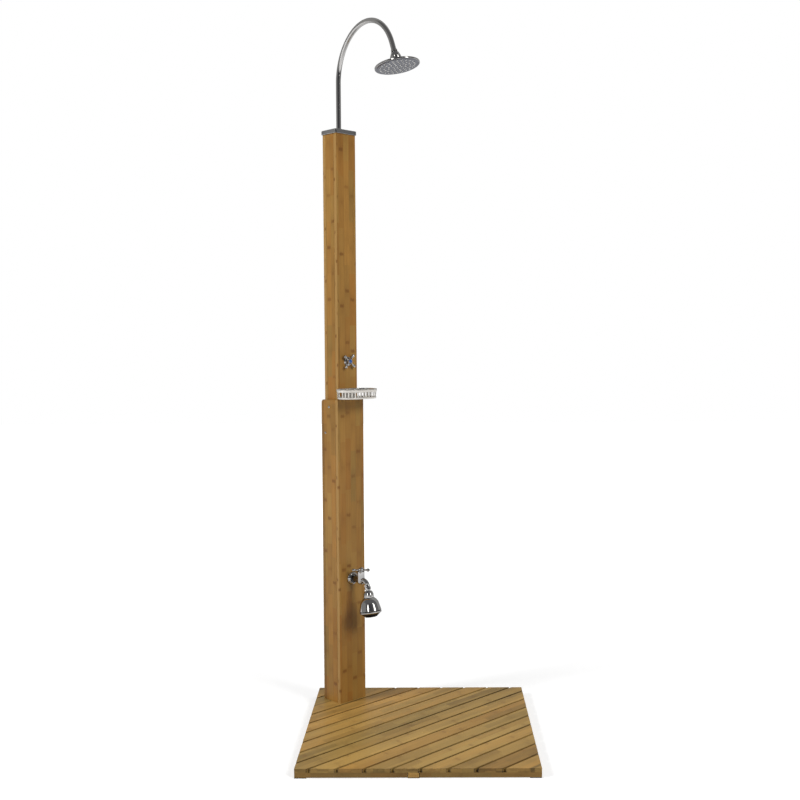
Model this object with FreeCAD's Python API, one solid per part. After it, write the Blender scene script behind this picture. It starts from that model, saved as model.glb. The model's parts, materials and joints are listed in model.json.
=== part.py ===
import FreeCAD, Part
import math
import os
from FreeCAD import Placement, Rotation, Vector

# Outdoor shower post: laminated bamboo boards on a slatted standing deck.
# Millimetres.  The deck lies along X and Y with its middle at the origin and its pads on z = 0.
# The post stands on the deck's diagonal, in the back left corner, facing the deck's middle.

# ---------------------------------------------------------------- driving dimensions
# Deck
deck_side = 700.0
pad_height = 2.0
pad_side = 34.0
rail_height = 14.0
rail_width = 40.0
joist_width = 31.0
joist_offset = -12.7          # the joist's middle, left of the deck's middle
rail_end_gap = 1.6
slat_thickness = 12.0
slat_gap = 5.0
corner_slat_depth = 19.0      # height of the triangular slat in the front right corner
slat_edge_radius = 1.5
slats_front = 8               # slats between the middle slat and the front right corner
slats_back = 5                # full slats between the middle slat and the post board

# Post
post_set_back = 2.5           # the post's axis behind the middle of its board
board_thickness = 14.0
nest_clearance = 0.5          # between the upper section and the inside of the lower one
upper_width = 82.5
upper_depth = 69.0
lower_height = 1010.0
upper_exposed = 870.0         # from the top of the lower section to the cap
section_overlap = 130.0
board_edge_radius = 1.6
lower_crown_radius = 10.0     # the rounded top back corners of the lower side boards
foot_block_height = 60.0
bolt_radius = 4.0
bolt_tip_cover = 12.0         # wood left above the bolts' tips
bolt_spacing = 44.0
bolt_head_radius = 7.5
bolt_head_height = 5.3
washer_radius = 12.0
washer_thickness = 1.6
screw_radius = 2.0
screw_head_radius = 4.2
screw_head_height = 2.4
screw_length = 24.0
screw_clearance = 0.05
back_screw_spread = 54.0
back_screw_low = 18.0         # above the deck
back_screw_rise = 24.0
joint_screw_drops = (24.0, 110.0)     # below the top of the lower section
joint_screw_sets = (-3.2, 15.0)       # behind the post's axis

# Cap and gooseneck
cap_height = 14.0
cap_plate = 4.0
cap_overhang = 4.1
cap_corner_radius = 6.0
cap_edge_radius = 3.2
neck_radius = 8.0
neck_wall = 1.2
neck_bend_radius = 163.0
neck_riser = 154.0            # straight pipe between the cap and the bend
neck_sweep = 157.0            # degrees
neck_end_length = 26.0
neck_turn = 8.5               # the arm stands turned from square to the post, degrees
neck_tail = 46.0              # the part of the riser below the cap
nut_across_flats = 26.0
nut_thickness = 7.0
pipe_clearance = 0.05

# Ball joints of both spray heads
ball_radius = 9.5
ball_neck_radius = 5.8
ball_bore_radius = 3.0
ball_cut = 8.0                # flat on the ball's water side, below its centre
ball_collar_bottom = 13.5     # above the ball's centre, clear of the nut at the swivel limit
cup_clearance = 0.3
cup_wall = 2.0
cup_top = 4.0
cup_bottom = -7.4
mouth_height = 7.6            # the nut's mouth above the ball's centre
nut_lip = 2.4
thread_radius = 13.0
thread_top = -3.0
nut_bottom = -12.0
nut_chamfer = 1.0
seat_depth = 2.0              # the seat in a head's hub goes on below its cup
hub_bore_step = 5.0           # from the seat's radius in to the water bore
swivel_limit = 20.0           # degrees off the pipe's axis

# Rain head
rain_tilt = 14.5              # degrees, towards the post
rain_spin = -21.0
rain_radius = 69.6
rain_drop = 34.0              # ball centre to spray face
rain_rim = 6.6
rain_wall = 1.6
rain_plate = 2.0
rain_dish = 0.6               # the plate's middle stands below the rim
rain_dome_drop = 9.6          # from the nut's bottom down the domed part of the shell
rain_dome_width = 24.0
rain_collar_radius = 10.0
rain_ball_to_pipe = 19.0
rain_spigot_length = 10.0
rain_nut_radius = 17.0
rain_nut_shoulder = 14.2
rain_nut_mouth = 11.2
nozzle_rings = 4
nozzle_ring_pitch = 13.4
nozzle_radius = 2.3
nozzle_height = 1.8

# Upper valve
valve_above_joint = 126.0     # from the top of the lower section
bonnet_radius = 15.0
bonnet_plate = 3.0
bonnet_neck_radius = 9.0
bonnet_neck_top = 3.8
valve_body_radius = 12.0
valve_body_half = 22.0
spindle_radius = 4.0
spindle_collar = 6.0          # radius of the spindle's inner end
spindle_clearance = 0.05
tail_radius = 9.4
tail_depth = 8.0              # how far a tail screws into its body behind the board
pipe_radius = 7.5
pipe_wall = 1.5
socket_depth = 10.0
water_bore = 5.5
port_radius = 13.0            # side port of a cast body
chamber_radius = 7.0
union_radius = 11.5
union_half = 14.0
tee_tail = 14.0               # the tee below the tap's axis
tee_neck = 6.0                # the tee's top above where a valve body would end

# Cross handles
handle_span = 60.0
handle_hub_radius = 8.5
handle_arm_radius = 3.4
handle_lobe_radius = 5.2
handle_rise = 10.0            # wood to the middle of the upper handle's arms
handle_clearance = 1.0        # under a hub
upper_handle_pose = 50.0      # degrees
foot_handle_pose = 45.0
index_radius = 6.0
index_front = 17.5
index_crown = 1.0

# Foot tap
tap_height = 442.0
flange_radius = 21.75
flange_depth = 9.0
barrel_radius = 10.0
tap_reach = 44.0              # wood to the tap body's axis
tap_body_radius = 12.2
tap_body_top = 29.0
tap_body_bottom = -14.0
tap_chamber_radius = 6.4
tap_chamber_top = 9.0
tap_boss_radius = 9.6
foot_handle_rise = 33.0       # tap axis to the middle of the handle's arms
foot_hub_high = 7.0
spout_radius = 8.0
spout_wall = 2.0
spout_bend_radius = 20.0
spout_boss_end = 57.0         # wood to the end of the spout's boss
spout_sweep = 80.0            # degrees, so that the spout ends a little short of straight down
spout_end_length = 1.0
spout_spigot_length = 6.0

# Foot spray
foot_collar_radius = 10.7
foot_ball_to_pipe = 23.4
foot_nut_radius = 17.2
foot_nut_shoulder = 15.8
foot_nut_mouth = 11.6
bell_radius = 36.6
bell_shoulder_radius = 32.3
bell_shoulder_turn = 74.0     # degrees of the shoulder's round, from the axis
bell_height = 57.0            # ball centre to the dark groove
bell_wall = 2.0
bell_rim = 6.0
bell_lip = 2.6                # the rim's lower edge draws in by this much
groove_width = 3.2
groove_depth = 1.8
foot_face_depth = 11.5        # the black face below the rim
foot_face_flat = 18.5         # radius of its flat bottom
foot_face_seat = 3.0          # its edge inside the rim

# Hose inlet
inlet_thread_radius = 13.2
inlet_thread_length = 20.0
inlet_flange_radius = 19.0
inlet_flange_thickness = 4.0

# Soap basket
basket_length = 144.0
basket_depth = 90.0
basket_height = 32.5
basket_end_flat = 6.0          # straight part of its outline at each end
basket_taper = 3.0
basket_wall = 3.0
basket_band = 10.5
basket_ring = 6.5             # height of the lower ring
basket_bar_set = 1.2          # the bars stand back from the band and the ring
basket_base = 3.0
basket_bar_pitch = 12.0
basket_bar_gap = 8.0
basket_gap = 4.3              # above the top of the lower section
basket_back_margin = 12.0     # back plate outside its screws
basket_cut_inside = 9.0       # the cuts between bars reach in past the wall
basket_cut_outside = 4.0
drain_slot_lean = 0.18        # slots get shorter by this share of their distance from the middle
drain_slots = 7
drain_slot_width = 6.0
drain_slot_pitch = 14.4
drain_slot_margin = 14.0      # from the basket's front and back
basket_screw_spacing = 36.0

# ---------------------------------------------------------------- worked-out places
half_side = deck_side / 2.0
diagonal_share = math.sqrt(0.5)
rail_top = pad_height + rail_height
deck_top = rail_top + slat_thickness
corner_reach = deck_side * diagonal_share
slat_pitch = (corner_reach - corner_slat_depth) / (slats_front + 0.5)
post_reach = slat_pitch * (slats_back + 1.5) + post_set_back

lower_width = upper_width + 2.0 * (nest_clearance + board_thickness)
upper_front = -upper_depth / 2.0
upper_back = upper_depth / 2.0
lower_inner_front = upper_front - nest_clearance
lower_front = lower_inner_front - board_thickness
lower_back = upper_back
lower_inner_half = lower_width / 2.0 - board_thickness
lower_top = deck_top + lower_height
upper_bottom = lower_top - section_overlap
cap_bottom = lower_top + upper_exposed
cap_underside = cap_bottom + cap_height - cap_plate
cap_top = cap_bottom + cap_height
upper_top = cap_underside
neck_bottom = cap_underside - neck_tail
neck_bore = neck_radius - neck_wall
upper_inner_half = upper_width / 2.0 - board_thickness
upper_inner_back = upper_back - board_thickness
upper_inner_front = upper_front + board_thickness
lower_inner_back = lower_back - board_thickness
neck_bend_start = cap_top + neck_riser
upper_valve_height = lower_top + valve_above_joint
bolt_tip = deck_top + foot_block_height - bolt_tip_cover
basket_back = basket_taper + basket_wall
basket_corner = (basket_depth - basket_end_flat) / 2.0
basket_screw_height = lower_top + basket_gap + basket_height / 2.0

bell_shoulder_angle = math.radians(bell_shoulder_turn)
cup_inner = ball_radius + cup_clearance
cup_outer = cup_inner + cup_wall
cavity_radius = cup_outer + cup_clearance
hub_bore = cavity_radius - hub_bore_step
seat_bottom = cup_bottom - seat_depth
hub_radius = thread_radius - pipe_clearance
spout_bore = spout_radius - spout_wall

post_corner = post_reach * diagonal_share
post_place = Placement(Vector(-post_corner, post_corner, 0), Rotation(Vector(0, 0, 1), 45))
facing_out = Rotation(Vector(1, 0, 0), 90)
valve_place = post_place * Placement(Vector(0, upper_front, upper_valve_height), facing_out)
tap_place = post_place * Placement(Vector(0, lower_front, tap_height), facing_out)
tap_upright = post_place * Placement(Vector(0, lower_front - tap_reach, tap_height), Rotation())

arm_place = post_place * Placement(Vector(), Rotation(Vector(0, 0, 1), -neck_turn))
neck_tilt = 180.0 - neck_sweep
neck_lean = Rotation(Vector(1, 0, 0), -neck_tilt)
spout_tilt = 90.0 - spout_sweep
spout_lean = Rotation(Vector(1, 0, 0), -spout_tilt)


def bend_point(radius, degrees):
    """Reach and height of a point on a bend that starts upright at the origin."""
    angle = math.radians(degrees)
    return radius * (1 - math.cos(angle)), radius * math.sin(angle)


neck_reach, neck_rise = bend_point(neck_bend_radius, neck_sweep)
neck_end = Vector(0, -neck_reach, neck_bend_start + neck_rise)
neck_end_way = neck_lean.multVec(Vector(0, 0, -1))
pipe_end = neck_end + neck_end_way * neck_end_length
rain_ball_place = arm_place * Placement(pipe_end + neck_end_way * rain_ball_to_pipe, neck_lean)
rain_turned = rain_ball_place * Placement(Vector(), Rotation(Vector(0, 0, 1), rain_spin))
rain_place = rain_turned * Placement(Vector(), Rotation(Vector(1, 0, 0), rain_tilt))

spout_angle = math.radians(spout_sweep)
spout_end = Vector(
    0,
    lower_front - spout_boss_end - spout_bend_radius * math.sin(spout_angle),
    tap_height - spout_bend_radius * (1 - math.cos(spout_angle)),
)
spout_end_way = spout_lean.multVec(Vector(0, 0, -1))
spout_tip = spout_end + spout_end_way * spout_end_length
foot_ball_place = post_place * Placement(spout_tip + spout_end_way * foot_ball_to_pipe, spout_lean)


# ---------------------------------------------------------------- shape helpers
def block(x0, x1, y0, y1, z0, z1):
    return Part.makeBox(x1 - x0, y1 - y0, z1 - z0, Vector(x0, y0, z0))


def rod(radius, start, end):
    """Cylinder from one point to another."""
    way = end - start
    return Part.makeCylinder(radius, way.Length, start, way)


def lathe(start, *steps):
    """Turned solid about Z.  Points are (radius, height); a step is the next point of the
    outline, or a pair of points that an arc passes through and ends at."""
    edges = []
    first = Vector(start[0], 0, start[1])
    here = first
    for step in steps:
        if isinstance(step[0], tuple):
            through = Vector(step[0][0], 0, step[0][1])
            there = Vector(step[1][0], 0, step[1][1])
            edges.append(Part.Arc(here, through, there).toShape())
        else:
            there = Vector(step[0], 0, step[1])
            edges.append(Part.makeLine(here, there))
        here = there
    if (here - first).Length > 1e-6:
        edges.append(Part.makeLine(here, first))
    face = Part.Face(Part.Wire(edges))
    return face.revolve(Vector(0, 0, 0), Vector(0, 0, 1), 360)


def on_sphere(radius, height):
    """The point of a sphere's outline at a height, for a turned profile."""
    return math.sqrt(radius * radius - height * height), height


def crown(edge_radius, edge_height, rise):
    """Arc step of a turned profile: a spherical crown from an edge to the axis."""
    sphere = (edge_radius ** 2 + rise ** 2) / (2 * abs(rise))
    half = math.asin(edge_radius / sphere) / 2
    drop = math.copysign(sphere * (1 - math.cos(half)), rise)
    return (sphere * math.sin(half), edge_height + rise - drop), (0, edge_height + rise)


def hexagon_nut(across_flats, thickness, bore):
    corners = [Vector(across_flats / math.sqrt(3), 0, 0)]
    corners = [Rotation(Vector(0, 0, 1), 60 * k).multVec(corners[0]) for k in range(6)]
    prism = Part.Face(Part.makePolygon(corners + corners[:1])).extrude(Vector(0, 0, thickness))
    return prism.cut(Part.makeCylinder(bore, thickness))


def board(x0, x1, y0, y1, z0, z1):
    """Board with its long edges eased."""
    shape = block(x0, x1, y0, y1, z0, z1)
    upright = [e for e in shape.Edges if abs(e.tangentAt(e.FirstParameter).z) > 0.9]
    return shape.makeFillet(board_edge_radius, upright)


def pipe(path_edges, radius, bore):
    """Tube of one radius swept along a path that starts upright or level."""
    path = Part.Wire(path_edges)
    first = path_edges[0]
    start = first.valueAt(first.FirstParameter)
    way = first.tangentAt(first.FirstParameter)
    skins = []
    for size in (radius, bore):
        ring = Part.Wire([Part.makeCircle(size, start, way)])
        skins.append(path.makePipeShell([ring], True, False))
    return skins[0].cut(skins[1])


def rounded_plan(length, depth, corner, height):
    """Closed outline of a rectangle with rounded corners, centred on the Z axis."""
    x = length / 2.0
    y = depth / 2.0
    edges = []
    centres = [(x - corner, y - corner), (corner - x, y - corner),
               (corner - x, corner - y), (x - corner, corner - y)]
    points = []
    for quarter, (cx, cy) in enumerate(centres):
        for part in (0, 0.5, 1):
            angle = math.radians(90 * (quarter + part))
            points.append(Vector(cx + corner * math.cos(angle), cy + corner * math.sin(angle), height))
    for quarter in range(4):
        first, middle, last = points[3 * quarter:3 * quarter + 3]
        edges.append(Part.Arc(first, middle, last).toShape())
        edges.append(Part.makeLine(last, points[(3 * quarter + 3) % 12]))
    return Part.Wire(edges)


def export(name, shape, place=None):
    """Write one piece, moved from its own frame to the deck's frame."""
    piece = shape.copy()
    if place is not None:
        piece.Placement = place * piece.Placement
    piece.exportStep("parts/" + name + ".step")


# ---------------------------------------------------------------- deck
def deck_plan(z0, z1):
    return block(-half_side, half_side, -half_side, half_side, z0, z1)


def diagonal_slat(near, far):
    """Slat between two distances from the deck's diagonal, towards the front right corner,
    cut flush with the deck's sides and eased along its upper long edges."""
    strip = block(-corner_reach, corner_reach, -far, -near, rail_top, deck_top)
    strip.Placement = Placement(Vector(), Rotation(Vector(0, 0, 1), 45))
    slat = strip.common(deck_plan(rail_top, deck_top)).Solids[0]
    eased = []
    for edge in slat.Edges:
        way = edge.tangentAt(edge.FirstParameter)
        along = abs(abs(way.x) - abs(way.y)) < 0.01 and abs(way.z) < 0.01
        if along and edge.CenterOfMass.z > deck_top - 0.1:
            eased.append(edge)
    return slat.makeFillet(slat_edge_radius, eased)


def build_deck():
    first_groove = slat_pitch / 2.0
    half_gap = slat_gap / 2.0
    edges_front = [first_groove + slat_pitch * k for k in range(slats_front)]
    spans = [(-first_groove + half_gap, first_groove - half_gap)]
    for groove in edges_front:
        spans.append((groove + half_gap, min(groove + slat_pitch - half_gap, corner_reach)))
    spans[-1] = (spans[-1][0], corner_reach)
    for k in range(slats_back):
        groove = first_groove + slat_pitch * k
        spans.append((-(groove + slat_pitch - half_gap), -(groove + half_gap)))
    board_start = first_groove + slat_pitch * slats_back + half_gap
    board_end = board_start + 2 * slat_pitch - slat_gap
    spans.append((-corner_reach, -(board_end + slat_gap)))
    spans.sort(reverse=True)
    for number, (near, far) in enumerate(spans, 1):
        export("deck_slat_%02d" % number, diagonal_slat(near, far))

    post_board = diagonal_slat(-board_end, -board_start)
    for side in (-1, 1):
        hole = rod(bolt_radius + screw_clearance, Vector(0, 0, 0), Vector(0, 0, deck_top + 1))
        hole.Placement = post_place * Placement(Vector(side * bolt_spacing / 2, 0, 0), Rotation())
        post_board = post_board.cut(hole)
    export("post_board", post_board)

    joist_left = joist_offset - joist_width / 2.0
    joist_right = joist_offset + joist_width / 2.0
    inner = half_side - rail_width
    halves = ((-half_side, joist_left - rail_end_gap), (joist_right + rail_end_gap, half_side))
    for name, y0, y1 in (("rail_front", -half_side, -inner), ("rail_back", inner, half_side)):
        pieces = [block(x0, x1, y0, y1, pad_height, rail_top) for x0, x1 in halves]
        export(name, Part.makeCompound(pieces))
    sides = ((-half_side, -inner), (inner, half_side))
    export("side_rails", Part.makeCompound([block(x0, x1, -inner, inner, pad_height, rail_top) for x0, x1 in sides]))
    export("centre_joist", block(joist_left, joist_right, -half_side, half_side, pad_height, rail_top))

    pads = []
    outer = half_side - pad_side / 2.0
    for x in (-outer, joist_offset, outer):
        for y in (-outer, outer):
            pad = block(x - pad_side / 2, x + pad_side / 2, y - pad_side / 2, y + pad_side / 2, 0, pad_height)
            pads.append(pad)
    export("deck_pads", Part.makeCompound(pads))


# ---------------------------------------------------------------- post
def joint_screw_spots():
    """Where the four side screws of the overlap stand: (side, y, z)."""
    pairs = list(zip(joint_screw_sets, joint_screw_drops))
    return [(side, y, lower_top - drop) for side in (-1, 1) for y, drop in pairs]


def back_screw_spots():
    low = deck_top + back_screw_low
    half = back_screw_spread / 2.0
    return [(x, z) for x in (-half, half) for z in (low, low + back_screw_rise)]


def screw():
    """Pan-head wood screw: the head's seat is on z = 0 and the shank points down."""
    return lathe(
        (0, screw_head_height),
        (screw_head_radius * 0.6, screw_head_height),
        (screw_head_radius, screw_head_height * 0.35),
        (screw_head_radius, 0),
        (screw_radius, 0),
        (screw_radius, -screw_length),
        (0, -screw_length),
    )


def screw_places():
    """Every visible wood screw of the post, as placements in the post's frame."""
    places = []
    for side, y, z in joint_screw_spots():
        turn = Rotation(Vector(0, 1, 0), 90 * side)
        places.append(Placement(Vector(side * lower_width / 2, y, z), turn))
    for x, z in back_screw_spots():
        places.append(Placement(Vector(x, lower_back, z), Rotation(Vector(1, 0, 0), -90)))
    for x in (-basket_screw_spacing / 2, basket_screw_spacing / 2):
        seat = Vector(x, upper_front - basket_back, basket_screw_height)
        places.append(Placement(seat, Rotation(Vector(1, 0, 0), 90)))
    return places


def screw_holes():
    """Clearance holes for those screws, each as long as its shank."""
    hole = rod(screw_radius + screw_clearance, Vector(0, 0, 1), Vector(0, 0, -screw_length - 1))
    holes = []
    for place in screw_places():
        piece = hole.copy()
        piece.Placement = place
        holes.append(piece)
    return Part.makeCompound(holes)


def crowned(side_board, z_top):
    """Round the top back corner of a side board."""
    edge = None
    for candidate in side_board.Edges:
        middle = candidate.CenterOfMass
        across = abs(candidate.tangentAt(candidate.FirstParameter).x) > 0.9
        if across and abs(middle.z - z_top) < 0.1 and abs(middle.y - lower_back) < 0.1:
            edge = candidate
    return side_board.makeFillet(lower_crown_radius, [edge])


def build_lower_section():
    half = lower_width / 2.0
    holes = screw_holes()
    front = board(-half, half, lower_front, lower_inner_front, deck_top, lower_top)
    port = rod(barrel_radius + pipe_clearance, Vector(0, lower_front - 1, tap_height),
               Vector(0, lower_inner_front + 1, tap_height))
    export("lower_front_board", front.cut(port), post_place)

    for name, side in (("lower_left_board", -1), ("lower_right_board", 1)):
        x0, x1 = sorted((side * lower_inner_half, side * half))
        plain = block(x0, x1, lower_inner_front, lower_back, deck_top, lower_top)
        export(name, crowned(plain, lower_top).cut(holes), post_place)

    back = board(-lower_inner_half, lower_inner_half, lower_inner_back, lower_back,
                 deck_top, upper_bottom - nest_clearance)
    inlet_port = rod(barrel_radius + pipe_clearance, Vector(0, lower_inner_back - 1, tap_height),
                     Vector(0, lower_back + 1, tap_height))
    export("lower_back_board", back.cut(inlet_port).cut(holes), post_place)

    foot = block(-lower_inner_half, lower_inner_half, lower_inner_front, lower_inner_back,
                 deck_top, deck_top + foot_block_height)
    for x in (-bolt_spacing / 2, bolt_spacing / 2):
        foot = foot.cut(rod(bolt_radius + screw_clearance, Vector(x, 0, 0), Vector(x, 0, bolt_tip + 2)))
    export("foot_block", foot.cut(holes), post_place)


def build_foot_bolts():
    """Hexagon bolts with washers, up through the post board into the foot block."""
    bolts = []
    for x in (-bolt_spacing / 2, bolt_spacing / 2):
        washer_bottom = rail_top - washer_thickness
        washer = Part.makeCylinder(washer_radius, washer_thickness, Vector(x, 0, washer_bottom))
        head = hexagon_nut(2 * bolt_head_radius * math.cos(math.pi / 6), bolt_head_height, bolt_radius / 2)
        head.Placement = Placement(Vector(x, 0, washer_bottom - bolt_head_height), Rotation())
        shank = rod(bolt_radius, Vector(x, 0, washer_bottom - bolt_head_height), Vector(x, 0, bolt_tip))
        bolts.append(washer.fuse([head, shank]).removeSplitter())
    export("foot_bolts", Part.makeCompound(bolts), post_place)


def build_upper_section():
    half = upper_width / 2.0
    holes = screw_holes()
    front = board(-half, half, upper_front, upper_inner_front, upper_bottom, upper_top)
    port = rod(tail_radius + pipe_clearance, Vector(0, upper_front - 1, upper_valve_height),
               Vector(0, upper_inner_front + 1, upper_valve_height))
    export("upper_front_board", front.cut(port).cut(holes), post_place)
    export("upper_back_board",
           board(-half, half, upper_inner_back, upper_back, upper_bottom, upper_top), post_place)
    for name, side in (("upper_left_board", -1), ("upper_right_board", 1)):
        x0, x1 = sorted((side * upper_inner_half, side * half))
        plain = block(x0, x1, upper_inner_front, upper_inner_back, upper_bottom, upper_top)
        export(name, plain.cut(holes), post_place)


def build_post_screws():
    screws = []
    for place in screw_places():
        piece = screw()
        piece.Placement = place
        screws.append(piece)
    export("wood_screws", Part.makeCompound(screws), post_place)


# ---------------------------------------------------------------- cap and gooseneck
def build_cap():
    """Pressed cap: a crowned plate with a skirt over the boards and a collar for the pipe."""
    x = upper_width / 2.0 + cap_overhang
    y = upper_depth / 2.0 + cap_overhang
    cap = block(-x, x, -y, y, cap_bottom, cap_top)
    upright = [e for e in cap.Edges if abs(e.tangentAt(e.FirstParameter).z) > 0.9]
    cap = cap.makeFillet(cap_corner_radius, upright)
    rim = [e for e in cap.Edges if e.CenterOfMass.z > cap_top - 0.1]
    cap = cap.makeFillet(cap_edge_radius, rim)
    pocket = block(-upper_width / 2 - pipe_clearance, upper_width / 2 + pipe_clearance,
                   upper_front - pipe_clearance, upper_back + pipe_clearance, cap_bottom, cap_underside)
    bore = rod(neck_radius + pipe_clearance, Vector(0, 0, cap_bottom), Vector(0, 0, cap_top + 1))
    export("post_cap", cap.cut(pocket).cut(bore), post_place)
    nut = hexagon_nut(nut_across_flats, nut_thickness, neck_radius + pipe_clearance)
    nut.Placement = Placement(Vector(0, 0, cap_underside - nut_thickness), Rotation())
    export("neck_nut", nut, post_place)


def build_gooseneck():
    start = Vector(0, 0, neck_bottom)
    bend_from = Vector(0, 0, neck_bend_start)
    reach, rise = bend_point(neck_bend_radius, neck_sweep / 2)
    middle = Vector(0, -reach, neck_bend_start + rise)
    path = [
        Part.makeLine(start, bend_from),
        Part.Arc(bend_from, middle, neck_end).toShape(),
        Part.makeLine(neck_end, pipe_end),
    ]
    export("gooseneck", pipe(path, neck_radius, neck_bore), arm_place)


# ---------------------------------------------------------------- ball joints
def ball_connector(collar_radius, collar_top, spigot_radius, spigot_length):
    """Ball, neck, collar and the spigot that screws into the pipe; the ball is at the origin."""
    meet = math.sqrt(ball_radius ** 2 - ball_neck_radius ** 2)
    return lathe(
        (ball_bore_radius, -ball_cut),
        on_sphere(ball_radius, -ball_cut),
        ((ball_radius, 0), (ball_neck_radius, meet)),
        (ball_neck_radius, ball_collar_bottom),
        (collar_radius - 0.8, ball_collar_bottom),
        (collar_radius, ball_collar_bottom + 0.8),
        (collar_radius, collar_top),
        (spigot_radius, collar_top),
        (spigot_radius, collar_top + spigot_length),
        (ball_bore_radius, collar_top + spigot_length),
    )


def ball_cup():
    """Plastic cup between the ball and the nut: a zone of two concentric spheres."""
    return lathe(
        on_sphere(cup_inner, cup_bottom),
        on_sphere(cup_outer, cup_bottom),
        ((cup_outer, 0), on_sphere(cup_outer, cup_top)),
        on_sphere(cup_inner, cup_top),
        ((cup_inner, 0), on_sphere(cup_inner, cup_bottom)),
    )


def swivel_nut(outer_radius, shoulder_radius, mouth_outer):
    """Nut that holds the cup and ball; its mouth lets the neck lean to the swivel limit."""
    mouth = on_sphere(cavity_radius, mouth_height)
    lip = mouth_height + nut_lip
    inner_shoulder = on_sphere(cavity_radius, mouth_height / 2)
    return lathe(
        mouth,
        (mouth[0] + 0.8, lip),
        (mouth_outer, lip),
        (shoulder_radius, mouth_height / 2),
        (outer_radius, thread_top),
        (outer_radius, nut_bottom + nut_chamfer),
        (outer_radius - nut_chamfer, nut_bottom),
        (thread_radius, nut_bottom),
        (thread_radius, thread_top + 0.6),
        (cavity_radius, thread_top + 1.4),
        (cavity_radius, 0),
        (inner_shoulder, mouth),
    )


def cup_seat_steps():
    """Outline of the seat inside a head's hub, from its water bore up to its rim."""
    seat_low = on_sphere(cavity_radius, seat_bottom)
    seat_middle = on_sphere(cavity_radius, (seat_bottom + thread_top) / 2)
    return [seat_low, (seat_middle, on_sphere(cavity_radius, thread_top))]


# ---------------------------------------------------------------- rain head
def build_rain_head():
    spigot = neck_bore - pipe_clearance
    ball = ball_connector(rain_collar_radius, rain_ball_to_pipe, spigot, rain_spigot_length)
    export("rain_ball", ball, rain_ball_place)
    export("rain_cup", ball_cup(), rain_ball_place)
    export("rain_nut", swivel_nut(rain_nut_radius, rain_nut_shoulder, rain_nut_mouth), rain_place)

    face = -rain_drop
    rim_top = face + rain_rim
    dome_edge = hub_radius + rain_dome_width
    dome_bottom = nut_bottom - rain_dome_drop
    shell = lathe(
        (hub_bore, face + rain_plate + rain_wall),
        (hub_bore, seat_bottom),
        *cup_seat_steps(),
        (hub_radius, thread_top),
        (hub_radius, nut_bottom),
        ((hub_radius + 9.0, nut_bottom - 5.6), (dome_edge, dome_bottom)),
        (rain_radius - 3.0, rim_top),
        ((rain_radius - 0.9, rim_top - 0.9), (rain_radius, rim_top - 3.0)),
        (rain_radius, face + 0.8),
        (rain_radius - 0.8, face),
        (rain_radius - rain_wall, face),
        (rain_radius - rain_wall, rim_top - rain_wall - 0.6),
        (dome_edge, dome_bottom - rain_wall),
        (hub_radius + 4.0, face + rain_plate + rain_wall),
    )
    export("rain_shell", shell, rain_place)

    plate_radius = rain_radius - rain_wall - pipe_clearance
    plate_low = face - rain_dish
    plate = lathe(
        (0, face + rain_plate),
        (0, plate_low),
        (plate_radius - 4.0, plate_low),
        (plate_radius, face + rain_dish),
        (plate_radius, face + rain_plate),
    )
    nozzles = [nozzle(Vector(0, 0, plate_low))]
    for ring in range(1, nozzle_rings + 1):
        count = 6 * ring
        for k in range(count):
            turn = Rotation(Vector(0, 0, 1), 360.0 * k / count)
            nozzles.append(nozzle(turn.multVec(Vector(nozzle_ring_pitch * ring, 0, plate_low))))
    export("rain_face", plate.fuse(nozzles), rain_place)


def nozzle(seat):
    """Eight-sided nozzle that points down from its seat in the spray face."""
    corners = [Rotation(Vector(0, 0, 1), 45 * k).multVec(Vector(nozzle_radius, 0, 0)) for k in range(8)]
    outline = Part.makePolygon([seat + corner for corner in corners + corners[:1]])
    return Part.Face(outline).extrude(Vector(0, 0, -nozzle_height))


# ---------------------------------------------------------------- cross handles
def cross_handle(pose, hub_low, hub_high, recess):
    """Hub with four tapered arms that end in rounded lobes; the arms lie in z = 0."""
    crown = hub_high + 1.2
    hub = lathe(
        (0, hub_high) if recess else (0, crown),
        (index_radius + 0.2, hub_high) if recess else (handle_hub_radius * 0.5, crown - 0.3),
        (handle_hub_radius - 1.2, hub_high),
        ((handle_hub_radius - 0.2, hub_high - 0.8), (handle_hub_radius, hub_high - 2.0)),
        (handle_hub_radius, hub_low + 1.5),
        (handle_hub_radius - 1.5, hub_low),
        (0, hub_low),
    )
    lobe_centre = handle_span / 2.0 - handle_lobe_radius
    arms = []
    for quarter in range(4):
        turn = Rotation(Vector(0, 0, 1), pose + 90 * quarter)
        arm = Part.makeCone(handle_arm_radius, handle_arm_radius * 0.8, lobe_centre - 5.0,
                            Vector(5.0, 0, 0), Vector(1, 0, 0))
        lobe = Part.makeSphere(handle_lobe_radius, Vector(lobe_centre, 0, 0))
        finger = arm.fuse(lobe)
        finger.Placement = Placement(Vector(), turn)
        arms.append(finger)
    socket = Part.makeCylinder(spindle_radius, -hub_low + 2.0, Vector(0, 0, hub_low))
    handle = hub.fuse(arms).cut(socket)
    if recess:
        handle = handle.cut(Part.makeCylinder(index_radius, 2.0, Vector(0, 0, hub_high - 1.0)))
    return handle


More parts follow.
